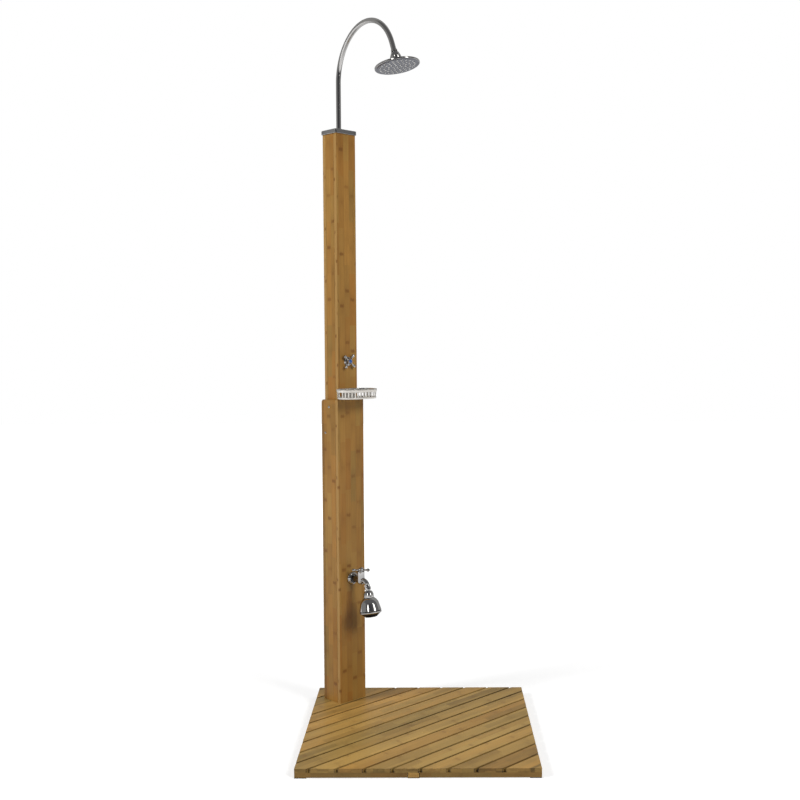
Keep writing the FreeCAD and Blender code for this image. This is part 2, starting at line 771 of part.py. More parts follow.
# ---------------------------------------------------------------- upper valve
def build_upper_valve():
    inner = -board_thickness
    axis = upper_front                      # the pipe's axis, behind the board's outer face
    bonnet = lathe(
        (spindle_radius + spindle_clearance, inner - tail_depth),
        (tail_radius, inner - tail_depth),
        (tail_radius, 0),
        (bonnet_radius, 0),
        (bonnet_radius, 1.0),
        ((bonnet_radius - 1.2, bonnet_plate - 0.8), (bonnet_radius - 4.0, bonnet_plate)),
        (bonnet_neck_radius, bonnet_plate),
        (bonnet_neck_radius, bonnet_neck_top),
        (spindle_radius + spindle_clearance, bonnet_neck_top),
    )
    export("upper_bonnet", bonnet, valve_place)

    spindle = lathe(
        (0, inner - tail_depth - 3.0),
        (spindle_collar, inner - tail_depth - 3.0),
        (spindle_collar, inner - tail_depth - 0.3),
        (spindle_radius, inner - tail_depth - 0.3),
        (spindle_radius, handle_rise + 1.5),
        (0, handle_rise + 1.5),
    )
    export("upper_spindle", spindle, valve_place)

    arms_place = valve_place * Placement(Vector(0, 0, handle_rise), Rotation())
    hub_low = bonnet_neck_top + handle_clearance - handle_rise
    hub_high = index_front - index_crown - handle_rise
    export("upper_handle", cross_handle(upper_handle_pose, hub_low, hub_high, True), arms_place)
    button = lathe(
        (0, hub_high - 1.0),
        (index_radius, hub_high - 1.0),
        (index_radius, hub_high),
        crown(index_radius, hub_high, index_crown),
    )
    export("upper_index", button, arms_place)

    body = Part.makeCylinder(valve_body_radius, 2 * valve_body_half, Vector(0, -valve_body_half, axis),
                             Vector(0, 1, 0))
    port = rod(port_radius, Vector(0, 0, axis), Vector(0, 0, inner))
    body = body.fuse(port)
    body = body.cut(rod(tail_radius, Vector(0, 0, inner - tail_depth), Vector(0, 0, inner + 1)))
    body = body.cut(rod(chamber_radius, Vector(0, 0, axis), Vector(0, 0, inner)))
    body = body.cut(rod(water_bore, Vector(0, -valve_body_half - 1, axis), Vector(0, valve_body_half + 1, axis)))
    for end in (-1, 1):
        mouth = Vector(0, end * (valve_body_half + 1), axis)
        floor = Vector(0, end * (valve_body_half - socket_depth), axis)
        body = body.cut(rod(pipe_radius + pipe_clearance, floor, mouth))
    export("upper_valve_body", body, valve_place)


# ---------------------------------------------------------------- risers, tee and inlet
def straight_pipe(z0, z1):
    outer = Part.makeCylinder(pipe_radius, z1 - z0, Vector(0, 0, z0))
    return outer.cut(Part.makeCylinder(pipe_radius - pipe_wall, z1 - z0, Vector(0, 0, z0)))


def build_risers():
    tee_top = tap_height + valve_body_half + tee_neck
    valve_low = upper_valve_height - valve_body_half
    valve_high = upper_valve_height + valve_body_half
    export("middle_riser", straight_pipe(tee_top - socket_depth, valve_low + socket_depth), post_place)

    union = lathe(
        (neck_radius + pipe_clearance, neck_bottom),
        (pipe_radius, neck_bottom - pipe_wall),
        (pipe_radius, neck_bottom - union_half),
        (union_radius, neck_bottom - union_half),
        (union_radius, neck_bottom + union_half),
        (neck_radius + pipe_clearance, neck_bottom + union_half),
    )
    riser = straight_pipe(valve_high - socket_depth, neck_bottom - pipe_wall)
    export("upper_riser", riser.fuse(union), post_place)

    tee_bottom = tap_height - tee_tail
    tee = Part.makeCylinder(valve_body_radius, tee_top - tee_bottom, Vector(0, 0, tee_bottom))
    arm = rod(port_radius, Vector(0, lower_inner_front, tap_height), Vector(0, lower_inner_back, tap_height))
    tee = tee.fuse(arm)
    tee = tee.cut(rod(water_bore, Vector(0, lower_inner_front - 1, tap_height),
                      Vector(0, lower_inner_back + 1, tap_height)))
    tee = tee.cut(rod(water_bore, Vector(0, 0, tap_height), Vector(0, 0, tee_top + 1)))
    tee = tee.cut(rod(pipe_radius + pipe_clearance, Vector(0, 0, tee_top - socket_depth),
                      Vector(0, 0, tee_top + 1)))
    for wall, way in ((lower_inner_front, 1), (lower_inner_back, -1)):
        tee = tee.cut(rod(barrel_radius, Vector(0, wall - way, tap_height),
                          Vector(0, wall + way * tail_depth, tap_height)))
    export("riser_tee", tee, post_place)

    outside = Placement(Vector(0, lower_back, tap_height), Rotation(Vector(1, 0, 0), -90))
    inlet = lathe(
        (water_bore, -board_thickness - tail_depth),
        (barrel_radius, -board_thickness - tail_depth),
        (barrel_radius, 0),
        (inlet_flange_radius, 0),
        (inlet_flange_radius, inlet_flange_thickness - 1.0),
        (inlet_flange_radius - 1.0, inlet_flange_thickness),
        (inlet_thread_radius, inlet_flange_thickness),
        (inlet_thread_radius, inlet_flange_thickness + inlet_thread_length - 1.0),
        (inlet_thread_radius - 1.0, inlet_flange_thickness + inlet_thread_length),
        (water_bore + 3.0, inlet_flange_thickness + inlet_thread_length),
        (water_bore, inlet_flange_thickness + inlet_thread_length - 3.0),
    )
    export("hose_inlet", inlet, post_place * outside)


# ---------------------------------------------------------------- foot tap
def build_foot_tap():
    flange = lathe(
        (barrel_radius + pipe_clearance, 0),
        (flange_radius, 0),
        (flange_radius, 1.5),
        ((flange_radius - 1.6, 5.8), (flange_radius - 6.5, flange_depth)),
        (flange_radius - 8.0, flange_depth - 0.6),
        ((flange_radius - 9.2, flange_depth - 4.0), (barrel_radius + 0.8, flange_depth - 5.0)),
        (barrel_radius + pipe_clearance, flange_depth - 5.0),
    )
    export("foot_flange", flange, tap_place)

    barrel = rod(barrel_radius, Vector(0, tap_reach + board_thickness + tail_depth, 0), Vector(0, 0, 0))
    dome = math.sqrt(0.5) * tap_body_radius
    upright = lathe(
        (0, tap_body_bottom),
        (3.0, tap_body_bottom),
        ((dome + 1.0, tap_body_bottom + 4.4), (tap_body_radius, tap_body_bottom + 11.0)),
        (tap_body_radius, tap_body_top - 1.0),
        (tap_body_radius - 1.0, tap_body_top),
        (0, tap_body_top),
    )
    boss = rod(tap_boss_radius, Vector(0, 0, 0), Vector(0, tap_reach - spout_boss_end, 0))
    body = upright.fuse([barrel, boss])
    body = body.cut(rod(water_bore, Vector(0, 0, 0), Vector(0, tap_reach + board_thickness + tail_depth + 1, 0)))
    spigot_start = tap_reach - spout_boss_end + spout_spigot_length
    body = body.cut(rod(spout_radius - 1.0, Vector(0, spigot_start, 0), Vector(0, tap_reach - spout_boss_end - 1, 0)))
    body = body.cut(rod(spindle_radius + spindle_clearance, Vector(0, 0, 0), Vector(0, 0, tap_body_top + 1)))
    body = body.cut(rod(tap_chamber_radius, Vector(0, 0, -water_bore), Vector(0, 0, tap_chamber_top)))
    export("foot_tap_body", body, tap_upright)

    spindle = lathe(
        (0, tap_chamber_top - 5.0),
        (spindle_collar, tap_chamber_top - 5.0),
        (spindle_collar, tap_chamber_top - 0.3),
        (spindle_radius, tap_chamber_top - 0.3),
        (spindle_radius, foot_handle_rise + 1.5),
        (0, foot_handle_rise + 1.5),
    )
    export("foot_spindle", spindle, tap_upright)
    handle_place = tap_upright * Placement(Vector(0, 0, foot_handle_rise), Rotation())
    hub_low = tap_body_top + handle_clearance - foot_handle_rise
    handle = cross_handle(foot_handle_pose, hub_low, foot_hub_high, False)
    export("foot_handle", handle, handle_place)

    boss_end = Vector(0, lower_front - spout_boss_end, tap_height)
    half = math.radians(spout_sweep / 2)
    middle = boss_end + Vector(0, -spout_bend_radius * math.sin(half), -spout_bend_radius * (1 - math.cos(half)))
    path = [
        Part.Arc(boss_end, middle, spout_end).toShape(),
        Part.makeLine(spout_end, spout_tip),
    ]
    spout = pipe(path, spout_radius, spout_bore)
    spigot_end = boss_end + Vector(0, spout_spigot_length, 0)
    spigot = rod(spout_radius - 1.0, boss_end, spigot_end).cut(rod(spout_bore, boss_end, spigot_end))
    export("foot_spout", spout.fuse(spigot), post_place)


# ---------------------------------------------------------------- foot spray
def bell_shoulder(inset, share):
    """Point on the bell's round shoulder, from its top (0) to where the skirt starts (1)."""
    start = math.asin((foot_nut_radius - nut_chamfer) / bell_shoulder_radius)
    angle = start + (bell_shoulder_angle - start) * share
    radius = bell_shoulder_radius - inset
    centre = nut_bottom - bell_shoulder_radius * math.cos(start)
    return radius * math.sin(angle), centre + radius * math.cos(angle)


def build_foot_spray():
    ball = ball_connector(foot_collar_radius, foot_ball_to_pipe, spout_bore - pipe_clearance, spout_end_length)
    export("foot_ball", ball, foot_ball_place)
    export("foot_cup", ball_cup(), foot_ball_place)
    export("foot_nut", swivel_nut(foot_nut_radius, foot_nut_shoulder, foot_nut_mouth), foot_ball_place)

    groove = -bell_height
    groove_floor = bell_radius - groove_depth
    rim = groove - bell_rim
    lip = bell_radius - bell_lip
    shell = lathe(
        (hub_bore, nut_bottom - 6.0),
        (hub_bore, seat_bottom),
        *cup_seat_steps(),
        (hub_radius, thread_top),
        (hub_radius, nut_bottom),
        (foot_nut_radius - nut_chamfer, nut_bottom),
        (bell_shoulder(0, 0.5), bell_shoulder(0, 1.0)),
        (bell_radius, groove + groove_width),
        (groove_floor, groove + groove_width - 0.4),
        (groove_floor, groove + 0.4),
        (bell_radius, groove),
        ((bell_radius - 0.5, rim + 2.2), (lip, rim)),
        (lip - bell_wall, rim),
        (groove_floor - bell_wall, groove),
        bell_shoulder(bell_wall, 1.0),
        (bell_shoulder(bell_wall, 0.5), bell_shoulder(bell_wall, 0.16)),
        (hub_radius, nut_bottom - 6.0),
    )
    export("foot_bell", shell, foot_ball_place)

    seat = lip - bell_wall - pipe_clearance
    bottom = rim - foot_face_depth
    face = lathe(
        (0, rim + foot_face_seat),
        (seat, rim + foot_face_seat),
        (seat, rim - 0.8),
        (foot_face_flat + 0.8, bottom + 0.8),
        (foot_face_flat, bottom),
        (0, bottom),
    )
    export("foot_face", face, foot_ball_place)


# ---------------------------------------------------------------- soap basket
def basket_body(shrink, z0, z1, base):
    """Tapered tray form between two heights of the basket, drawn in by a wall's thickness."""
    sections = []
    for z in (z0, z1):
        inset = basket_taper * (1 - (z - base) / basket_height) + shrink
        sections.append(rounded_plan(basket_length - 2 * inset, basket_depth - 2 * inset,
                                     basket_corner - inset, z))
    return Part.makeLoft(sections, True, True)


def wall_stations():
    """Middles of the openings round the wall: a place and the direction square to the wall."""
    x = basket_length / 2.0 - basket_corner
    y = basket_depth / 2.0 - basket_corner
    stations = []
    straight = int(round(2 * x / basket_bar_pitch))
    for k in range(straight):
        stations.append((Vector(2 * x * ((k + 0.5) / straight - 0.5), -y, 0), -90.0))
    arc_count = int(round(math.pi * basket_corner / basket_bar_pitch))
    for side, first in ((1, -90.0), (-1, 90.0)):
        for k in range(arc_count):
            angle = first + 180.0 * (k + 0.5) / arc_count
            upper = math.sin(math.radians(angle)) > 0
            stations.append((Vector(side * x, y if upper else -y, 0), angle))
    return stations


def build_basket():
    """Open oval basket: top band, bars, base ring and a slotted floor, flat against the post."""
    base = lower_top + basket_gap
    top = base + basket_height
    low = base + basket_ring
    high = top - basket_band
    basket = basket_body(basket_bar_set, base, top, base)
    basket = basket.fuse([basket_body(0, base, low, base), basket_body(0, high, top, base)])
    basket = basket.cut(basket_body(basket_wall, base + basket_base, top + 0.01, base))
    openings = []
    for centre, angle in wall_stations():
        cutter = block(basket_corner - basket_cut_inside, basket_corner + basket_cut_outside,
                       -basket_bar_gap / 2, basket_bar_gap / 2, low, high)
        cutter.Placement = Placement(centre, Rotation(Vector(0, 0, 1), angle))
        openings.append(cutter)
    for k in range(drain_slots):
        x = (k - (drain_slots - 1) / 2.0) * drain_slot_pitch
        reach = basket_depth / 2.0 - drain_slot_margin - abs(x) * drain_slot_lean
        openings.append(block(x - drain_slot_width / 2, x + drain_slot_width / 2, -reach, reach,
                              base - 1, base + basket_base + 1))
    basket = basket.cut(Part.makeCompound(openings))
    back_half = basket_screw_spacing / 2 + basket_back_margin
    back = block(-back_half, back_half, basket_depth / 2 - basket_back, basket_depth / 2, base, top)
    basket = basket.fuse(back).removeSplitter()
    basket.Placement = Placement(Vector(0, upper_front - basket_depth / 2, 0), Rotation())
    export("soap_basket", basket.cut(screw_holes()), post_place)


os.makedirs("parts", exist_ok=True)
build_deck()
build_lower_section()
build_foot_bolts()
build_upper_section()
build_post_screws()
build_cap()
build_gooseneck()
build_rain_head()
build_upper_valve()
build_risers()
build_foot_tap()
build_foot_spray()
build_basket()
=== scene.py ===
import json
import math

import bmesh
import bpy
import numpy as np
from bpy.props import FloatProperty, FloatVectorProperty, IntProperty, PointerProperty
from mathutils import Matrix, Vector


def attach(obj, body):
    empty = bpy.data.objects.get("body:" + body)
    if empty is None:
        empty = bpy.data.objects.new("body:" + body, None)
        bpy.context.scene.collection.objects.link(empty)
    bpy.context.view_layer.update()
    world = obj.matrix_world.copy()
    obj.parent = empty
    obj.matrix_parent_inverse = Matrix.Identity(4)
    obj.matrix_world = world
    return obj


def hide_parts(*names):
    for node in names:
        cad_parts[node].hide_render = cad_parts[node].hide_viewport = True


bl_info = {
    "name": "Outdoor shower post",
    "version": (1, 0, 0),
    "blender": (4, 5, 0),
    "location": "View3D > Sidebar > Shower",
    "description": "Bamboo shower post on a slatted deck, with its fittings and finishes",
    "category": "Object",
}

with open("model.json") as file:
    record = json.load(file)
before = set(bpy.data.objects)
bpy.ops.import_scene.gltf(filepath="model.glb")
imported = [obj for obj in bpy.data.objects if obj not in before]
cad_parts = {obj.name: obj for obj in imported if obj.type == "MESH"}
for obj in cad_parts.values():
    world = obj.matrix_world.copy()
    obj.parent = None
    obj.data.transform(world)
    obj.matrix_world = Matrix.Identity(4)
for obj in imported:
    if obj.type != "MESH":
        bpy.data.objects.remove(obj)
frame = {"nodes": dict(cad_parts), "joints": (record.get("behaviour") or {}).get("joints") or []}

# Profiles are written in millimetres, and MM turns them into metres.
MM = 0.001
ROOT = "post"

# ---------------- sizes shared with the solids
POST_CORNER = 259.141          # the post's axis, left of and behind the deck's middle
POST_TURN = 45.0               # degrees
NECK_TURN = 8.5
UPPER_HALF = 41.25
UPPER_FRONT = -34.5
UPPER_BACK = 34.5
LOWER_HALF = 55.75
LOWER_FRONT = -49.0
LOWER_BACK = 34.5
DECK_TOP = 28.0
HALF_DECK = 350.0
LOWER_TOP = 1038.0
CAP_BOTTOM = 1908.0
CAP_TOP = 1922.0
CAP_PLATE = 4.0
BOARD = 14.0
VALVE_HEIGHT = 1164.0
TAP_HEIGHT = 442.0
TAP_REACH = 44.0
SPOUT_BOSS = 57.0
SPOUT_BEND = 20.0
SPOUT_SWEEP = 80.0
SLAT_PITCH = 55.997
SLAT_GAP = 5.0
NECK_RADIUS = 8.0
NECK_BORE = 6.8
NECK_BEND = 163.0
NECK_BEND_START = 2076.0
NECK_SWEEP = 157.0
NECK_STRAIGHT = 26.0
NECK_TAIL = 1872.0             # height of the riser's lower end
RAIN_TILT = 14.5
RAIN_BALL_TO_PIPE = 19.0
FOOT_BALL_TO_PIPE = 23.4
BALL = 9.5
BALL_NECK = 5.8
THREAD_RADIUS = 13.0
CAVITY = 12.1                  # radius of the space for the cup
NUT_BOTTOM = -12.0
BALL_CUT = -8.0                # lower end of the ball, where its water bore opens
WATER_BORE = 3.0
COLLAR = 13.5                  # height at which the ball's neck meets its collar
MOUTH = 7.6                    # height of the nut's mouth on the cup's space
SEAT_FOOT = -9.4               # heights between which a head's hub carries the cup
SEAT_RIM = -3.0
HUB_BORE = 7.1
HUB_RADIUS = 12.95
SPINDLE_BORE = 4.05
SPOUT_RADIUS = 8.0
SHARP_EDGE = 38.0              # degrees between faces, past which an edge stays crisp

# Tints of bamboo, as shares of a board's colour in red, green and blue.
WARM = (1.02, 0.88, 0.76)
PALE = (1.0, 1.07, 1.12)
# Edge grain and highlight: the paler grain of a sawn edge, with a painted highlight on its rounded
# corner.
EDGE_GRAIN_AND_HIGHLIGHT = (1.22, 1.36, 1.85)
NODE_DARK = (0.56, 0.42, 0.36)


# ---------------- places
def rotation(axis, degrees):
    return np.array(Matrix.Rotation(math.radians(degrees), 4, axis))


def shift(x, y, z):
    """Place moved by millimetres along its own axes."""
    return np.array(Matrix.Translation((x * MM, y * MM, z * MM)))


def unit(rows):
    """Rows divided by their own lengths."""
    return rows / np.linalg.norm(rows, axis=1)[:, None]


def ball_place(head):
    """Place of a head's ball: X is its tilt's axis, Z its spin's axis, and Y is Z cross X."""
    spin, tilt = (next(j for j in frame["joints"] if j["name"] == head + motion)
                  for motion in ("_spin", "_tilt"))
    x_way, z_way = unit(np.array([tilt["axis"], spin["axis"]], float))
    place = np.eye(4)
    place[:3] = np.stack([x_way, np.cross(z_way, x_way), z_way, spin["pos_m"]], 1)
    return place


post_place = shift(-POST_CORNER, POST_CORNER, 0) @ rotation("Z", POST_TURN)
arm_place = post_place @ rotation("Z", -NECK_TURN)
facing_out, facing_back = rotation("X", 90), rotation("X", -90)
valve_place = post_place @ shift(0, UPPER_FRONT, VALVE_HEIGHT) @ facing_out
tap_place = post_place @ shift(0, LOWER_FRONT, TAP_HEIGHT) @ facing_out
tap_upright = post_place @ shift(0, LOWER_FRONT - TAP_REACH, TAP_HEIGHT)
rain_ball_place, foot_place = ball_place("rain"), ball_place("foot")
rain_place = rain_ball_place @ rotation("X", RAIN_TILT)


# ---------------- surfaces
def placed(points, place):
    """Points turned by a place's rotation and moved by its shift."""
    return points @ place[:3, :3].T + place[:3, 3]


def outline(corners, steps=7):
    """Closed outline with rounded corners.  A corner is (x, y, rounding).  Both of its sides
    are cut back by the rounding times the tangent of half the turn, and the arc that touches
    both cuts is the start plus rounding times (sine, one minus cosine) of the angle turned."""
    table = np.array([tuple(c) + (0.0,) * (3 - len(c)) for c in corners], float)
    p, rounding = table[:, :2], table[:, 2]
    way_in = unit(p - np.roll(p, 1, 0))
    way_out = np.roll(way_in, -1, 0)
    turn = np.arctan2(way_in[:, 0] * way_out[:, 1] - way_in[:, 1] * way_out[:, 0],
                      (way_in * way_out).sum(1))
    inward = np.sign(turn)[:, None] * np.stack([-way_in[:, 1], way_in[:, 0]], 1)
    start = p - way_in * (rounding * np.tan(np.abs(turn) / 2))[:, None]
    angle = np.linspace(0, 1, steps) * np.abs(turn)[:, None]
    curve = (np.sin(angle)[..., None] * way_in[:, None]
             + (1 - np.cos(angle))[..., None] * inward[:, None])
    points = (start[:, None] + rounding[:, None, None] * curve).reshape(-1, 2)
    step = np.linalg.norm(points - np.roll(points, 1, 0), axis=1)
    return points[step > 1e-7]


def oblong(x, y, corner, steps):
    """Outline of a rectangle about the middle, with its half sizes and rounded corners."""
    return outline([(x, -y, corner), (x, y, corner), (-x, y, corner), (-x, -y, corner)], steps)


def arc(centre_z, radius, first, last, count):
    """Points on a circle centred on the axis, between two angles in degrees from level."""
    angle = np.radians(np.linspace(first, last, count))
    return list(zip(radius * np.cos(angle), centre_z + radius * np.sin(angle)))


def angle_at(height, radius):
    """Degrees at which a circle about the origin reaches a height."""
    return math.degrees(math.asin(height / radius))


def around(sides):
    """Even angles of one full turn."""
    return np.linspace(0, 2 * np.pi, sides, endpoint=False)


def swept(radius, height, angle):
    """Points at the radius times the cosine and the sine of the angle, and at the height."""
    parts = radius * np.cos(angle), radius * np.sin(angle), height
    return np.stack(np.broadcast_arrays(*parts), -1)


def turned(profile, place, sides=72):
    """Turned surface: an outline's radius and height are swept through even angles of one
    turn.  An outline that starts off the axis is closed."""
    profile = np.asarray(profile, float) * MM
    grid = swept(profile[:, :1], profile[:, 1:], around(sides))
    return placed(grid, place), profile[0, 0] > 1e-7


def lofted(plans, heights, place):
    """Surface through level outlines with equal counts of points, one at each height."""
    plans = np.asarray(plans, float)
    levels = np.asarray(heights, float)[:, None, None]
    levels = np.broadcast_to(levels, plans.shape[:2] + (1,))
    return placed(np.concatenate([plans, levels], -1) * MM, place), True


def tube(path, radii, place, sides=48):
    """Pipe along a path in the YZ plane: every point carries a ring of its radius, spanned by
    the X axis and by that axis crossed with the path's direction."""
    path = np.asarray(path, float) * MM
    radii = np.broadcast_to(np.asarray(radii, float), len(path))[:, None, None]
    side = np.array([1.0, 0.0, 0.0])
    up = np.cross(side, unit(np.gradient(path, axis=0)))
    angle = around(sides)[:, None]
    rings = np.cos(angle) * side + np.sin(angle) * up[:, None]
    return placed(path[:, None] + radii * MM * rings, place)


def hollow_tube(path, radii, bores, place):
    """Tube with a wall: the outer skin from end to end and the bore back again."""
    return np.concatenate([tube(path, radii, place), tube(path, bores, place)[::-1]]), True


def bend_path(start, bend_radius, sweep, straight_before, straight_after):
    """Path in the YZ plane: up, round towards -Y through the sweep, then on along its tangent."""
    sweep = math.radians(sweep)
    angle = np.linspace(0, sweep, 90)
    y = -bend_radius * (1 - np.cos(angle))
    z = bend_radius * np.sin(angle)
    bend = np.stack([0 * y, y, z], 1) + start
    way = np.array([0, -math.sin(sweep), math.cos(sweep)])
    before = np.linspace(-straight_before, 0, 12, endpoint=False)[:, None] * [0, 0, 1.0] + start
    after = bend[-1] + np.linspace(0, straight_after, 6)[1:, None] * way
    return np.concatenate([before, bend, after])


def bars(starts, ends, across, half_width, half_depth, square, sides=16):
    """Straight bars with closed ends.  Each ring is a superellipse: cosine and sine of the
    angle, each raised to the power given, along the width and the depth of the bar."""
    way = ends - starts
    depth = np.cross(unit(way), across)
    angle = around(sides) + np.pi / sides
    c, s = (np.sign(v) * np.abs(v) ** square for v in (np.cos(angle), np.sin(angle)))
    ring = (half_width * c)[:, None] * across[:, None] + (half_depth * s)[:, None] * depth[:, None]
    share = np.array([0, 0, 1, 1.0])[None, :, None, None]
    size = np.array([0, 1, 1, 0.0])[None, :, None, None]
    return starts[:, None, None] + share * way[:, None, None] + size * ring[:, None]


def show(name, data):
    """A new object of a mesh, a light or a camera."""
    made = bpy.data.objects.new(name, data)
    bpy.context.scene.collection.objects.link(made)
    return made


def make_piece(name, shells, solid, body=ROOT, look="polished_chrome"):
    """One mesh from grids of points, shown in place of a solid.  A shell is its grid and
    whether its rows are closed; every cell is a face, seams and poles are merged, and faces
    are turned outwards."""
    points, faces, start = [], [], 0
    for grid, close_rows in shells:
        rows, sides = grid.shape[:2]
        index = np.arange(rows * sides).reshape(rows, sides) + start
        index = np.concatenate([index, index[:, :1]], 1)
        if close_rows:
            index = np.concatenate([index, index[:1]], 0)
        cells = np.stack([index[:-1, :-1], index[:-1, 1:], index[1:, 1:], index[1:, :-1]], -1)
        points.append(grid.reshape(-1, 3))
        faces.append(cells.reshape(-1, 4))
        start += rows * sides
    mesh = bpy.data.meshes.new(name)
    mesh.from_pydata(np.concatenate(points).tolist(), [], np.concatenate(faces).tolist())
    work = bmesh.new()
    work.from_mesh(mesh)
    bmesh.ops.remove_doubles(work, verts=work.verts, dist=2e-7)
    bmesh.ops.recalc_face_normals(work, faces=work.faces)
    work.to_mesh(mesh)
    work.free()
    mesh.polygons.foreach_set("use_smooth", np.ones(len(mesh.polygons), bool))
    mesh.set_sharp_from_angle(angle=math.radians(SHARP_EDGE))
    mesh.materials.append(finish(look))
    piece = show(name, mesh)
    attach(piece, body)
    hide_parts(solid)


# ---------------- finishes
def settle(tree, made, values):
    """Fills a node's inputs.  A socket among the values is linked, and anything else is set."""
    for key, value in values.items():
        if isinstance(value, bpy.types.NodeSocket):
            tree.links.new(value, made.inputs[key])
        else:
            made.inputs[key].default_value = value


def node(tree, kind, values={}, **settings):
    """A new node of a kind, with its settings and the values of its inputs."""
    made = tree.nodes.new("ShaderNode" + kind)
    for key, value in settings.items():
        setattr(made, key, value)
    settle(tree, made, values)
    return made


def calc(tree, operation, a, b=0.0, c=0.0):
    return node(tree, "Math", {0: a, 1: b, 2: c}, operation=operation).outputs[0]


def times(tree, a, b, plus=0.0):
    """A product, with a sum added where asked."""
    return calc(tree, "MULTIPLY_ADD", a, b, plus)


def span(tree, value, low, high, to_low=0.0, to_high=1.0):
    """Soft step of a value between two limits."""
    values = {"Value": value, "From Min": low, "From Max": high,
              "To Min": to_low, "To Max": to_high}
    return node(tree, "MapRange", values, interpolation_type="SMOOTHSTEP").outputs[0]


def mixed(tree, factor, a, b, blend="MIX"):
    made = node(tree, "Mix", {0: factor, 6: a, 7: b}, data_type="RGBA", blend_type=blend)
    return made.outputs[2]


def speckle(tree, where, scale, detail=2.0, rough=0.5, drawn=1.0):
    """Noise of a scale.  A share under one draws it out along the third axis."""
    where = node(tree, "VectorMath", {0: where, 1: (1, 1, drawn)}, operation="MULTIPLY").outputs[0]
    values = {"Vector": where, "Scale": scale, "Detail": detail, "Roughness": rough}
    return node(tree, "TexNoise", values).outputs["Fac"]


def dice(tree, x, y, z):
    """Three random numbers for each cell of whole numbers."""
    cell = node(tree, "CombineXYZ", {0: x, 1: y, 2: z}).outputs[0]
    colour = node(tree, "TexWhiteNoise", {"Vector": cell}).outputs["Color"]
    return node(tree, "SeparateColor", {0: colour}).outputs[:3]


def off_middle(tree, value):
    """Distance of a value from the middle of its whole number: 0 there and 0.5 at its ends."""
    return calc(tree, "ABSOLUTE", calc(tree, "SUBTRACT", calc(tree, "FRACT", value), 0.5))


def swung(tree, noise, depth, onto):
    """Adds a noise's swing about its middle, times a depth."""
    return times(tree, calc(tree, "SUBTRACT", noise, 0.5), depth, onto)


def bump(tree, height, strength, distance):
    values = {"Height": height, "Strength": strength, "Distance": distance}
    return node(tree, "Bump", values).outputs[0]


def new_finish(name):
    made = bpy.data.materials.new(name)
    made.use_nodes = True
    tree = made.node_tree
    return made, tree, tree.nodes["Principled BSDF"], node(tree, "TexCoord").outputs["Object"]


def rgba(colour, gain=1.0):
    """A colour times one gain, or times a gain for each of its parts."""
    return tuple(np.minimum(1.0, np.array(colour) * gain).tolist()) + (1.0,)


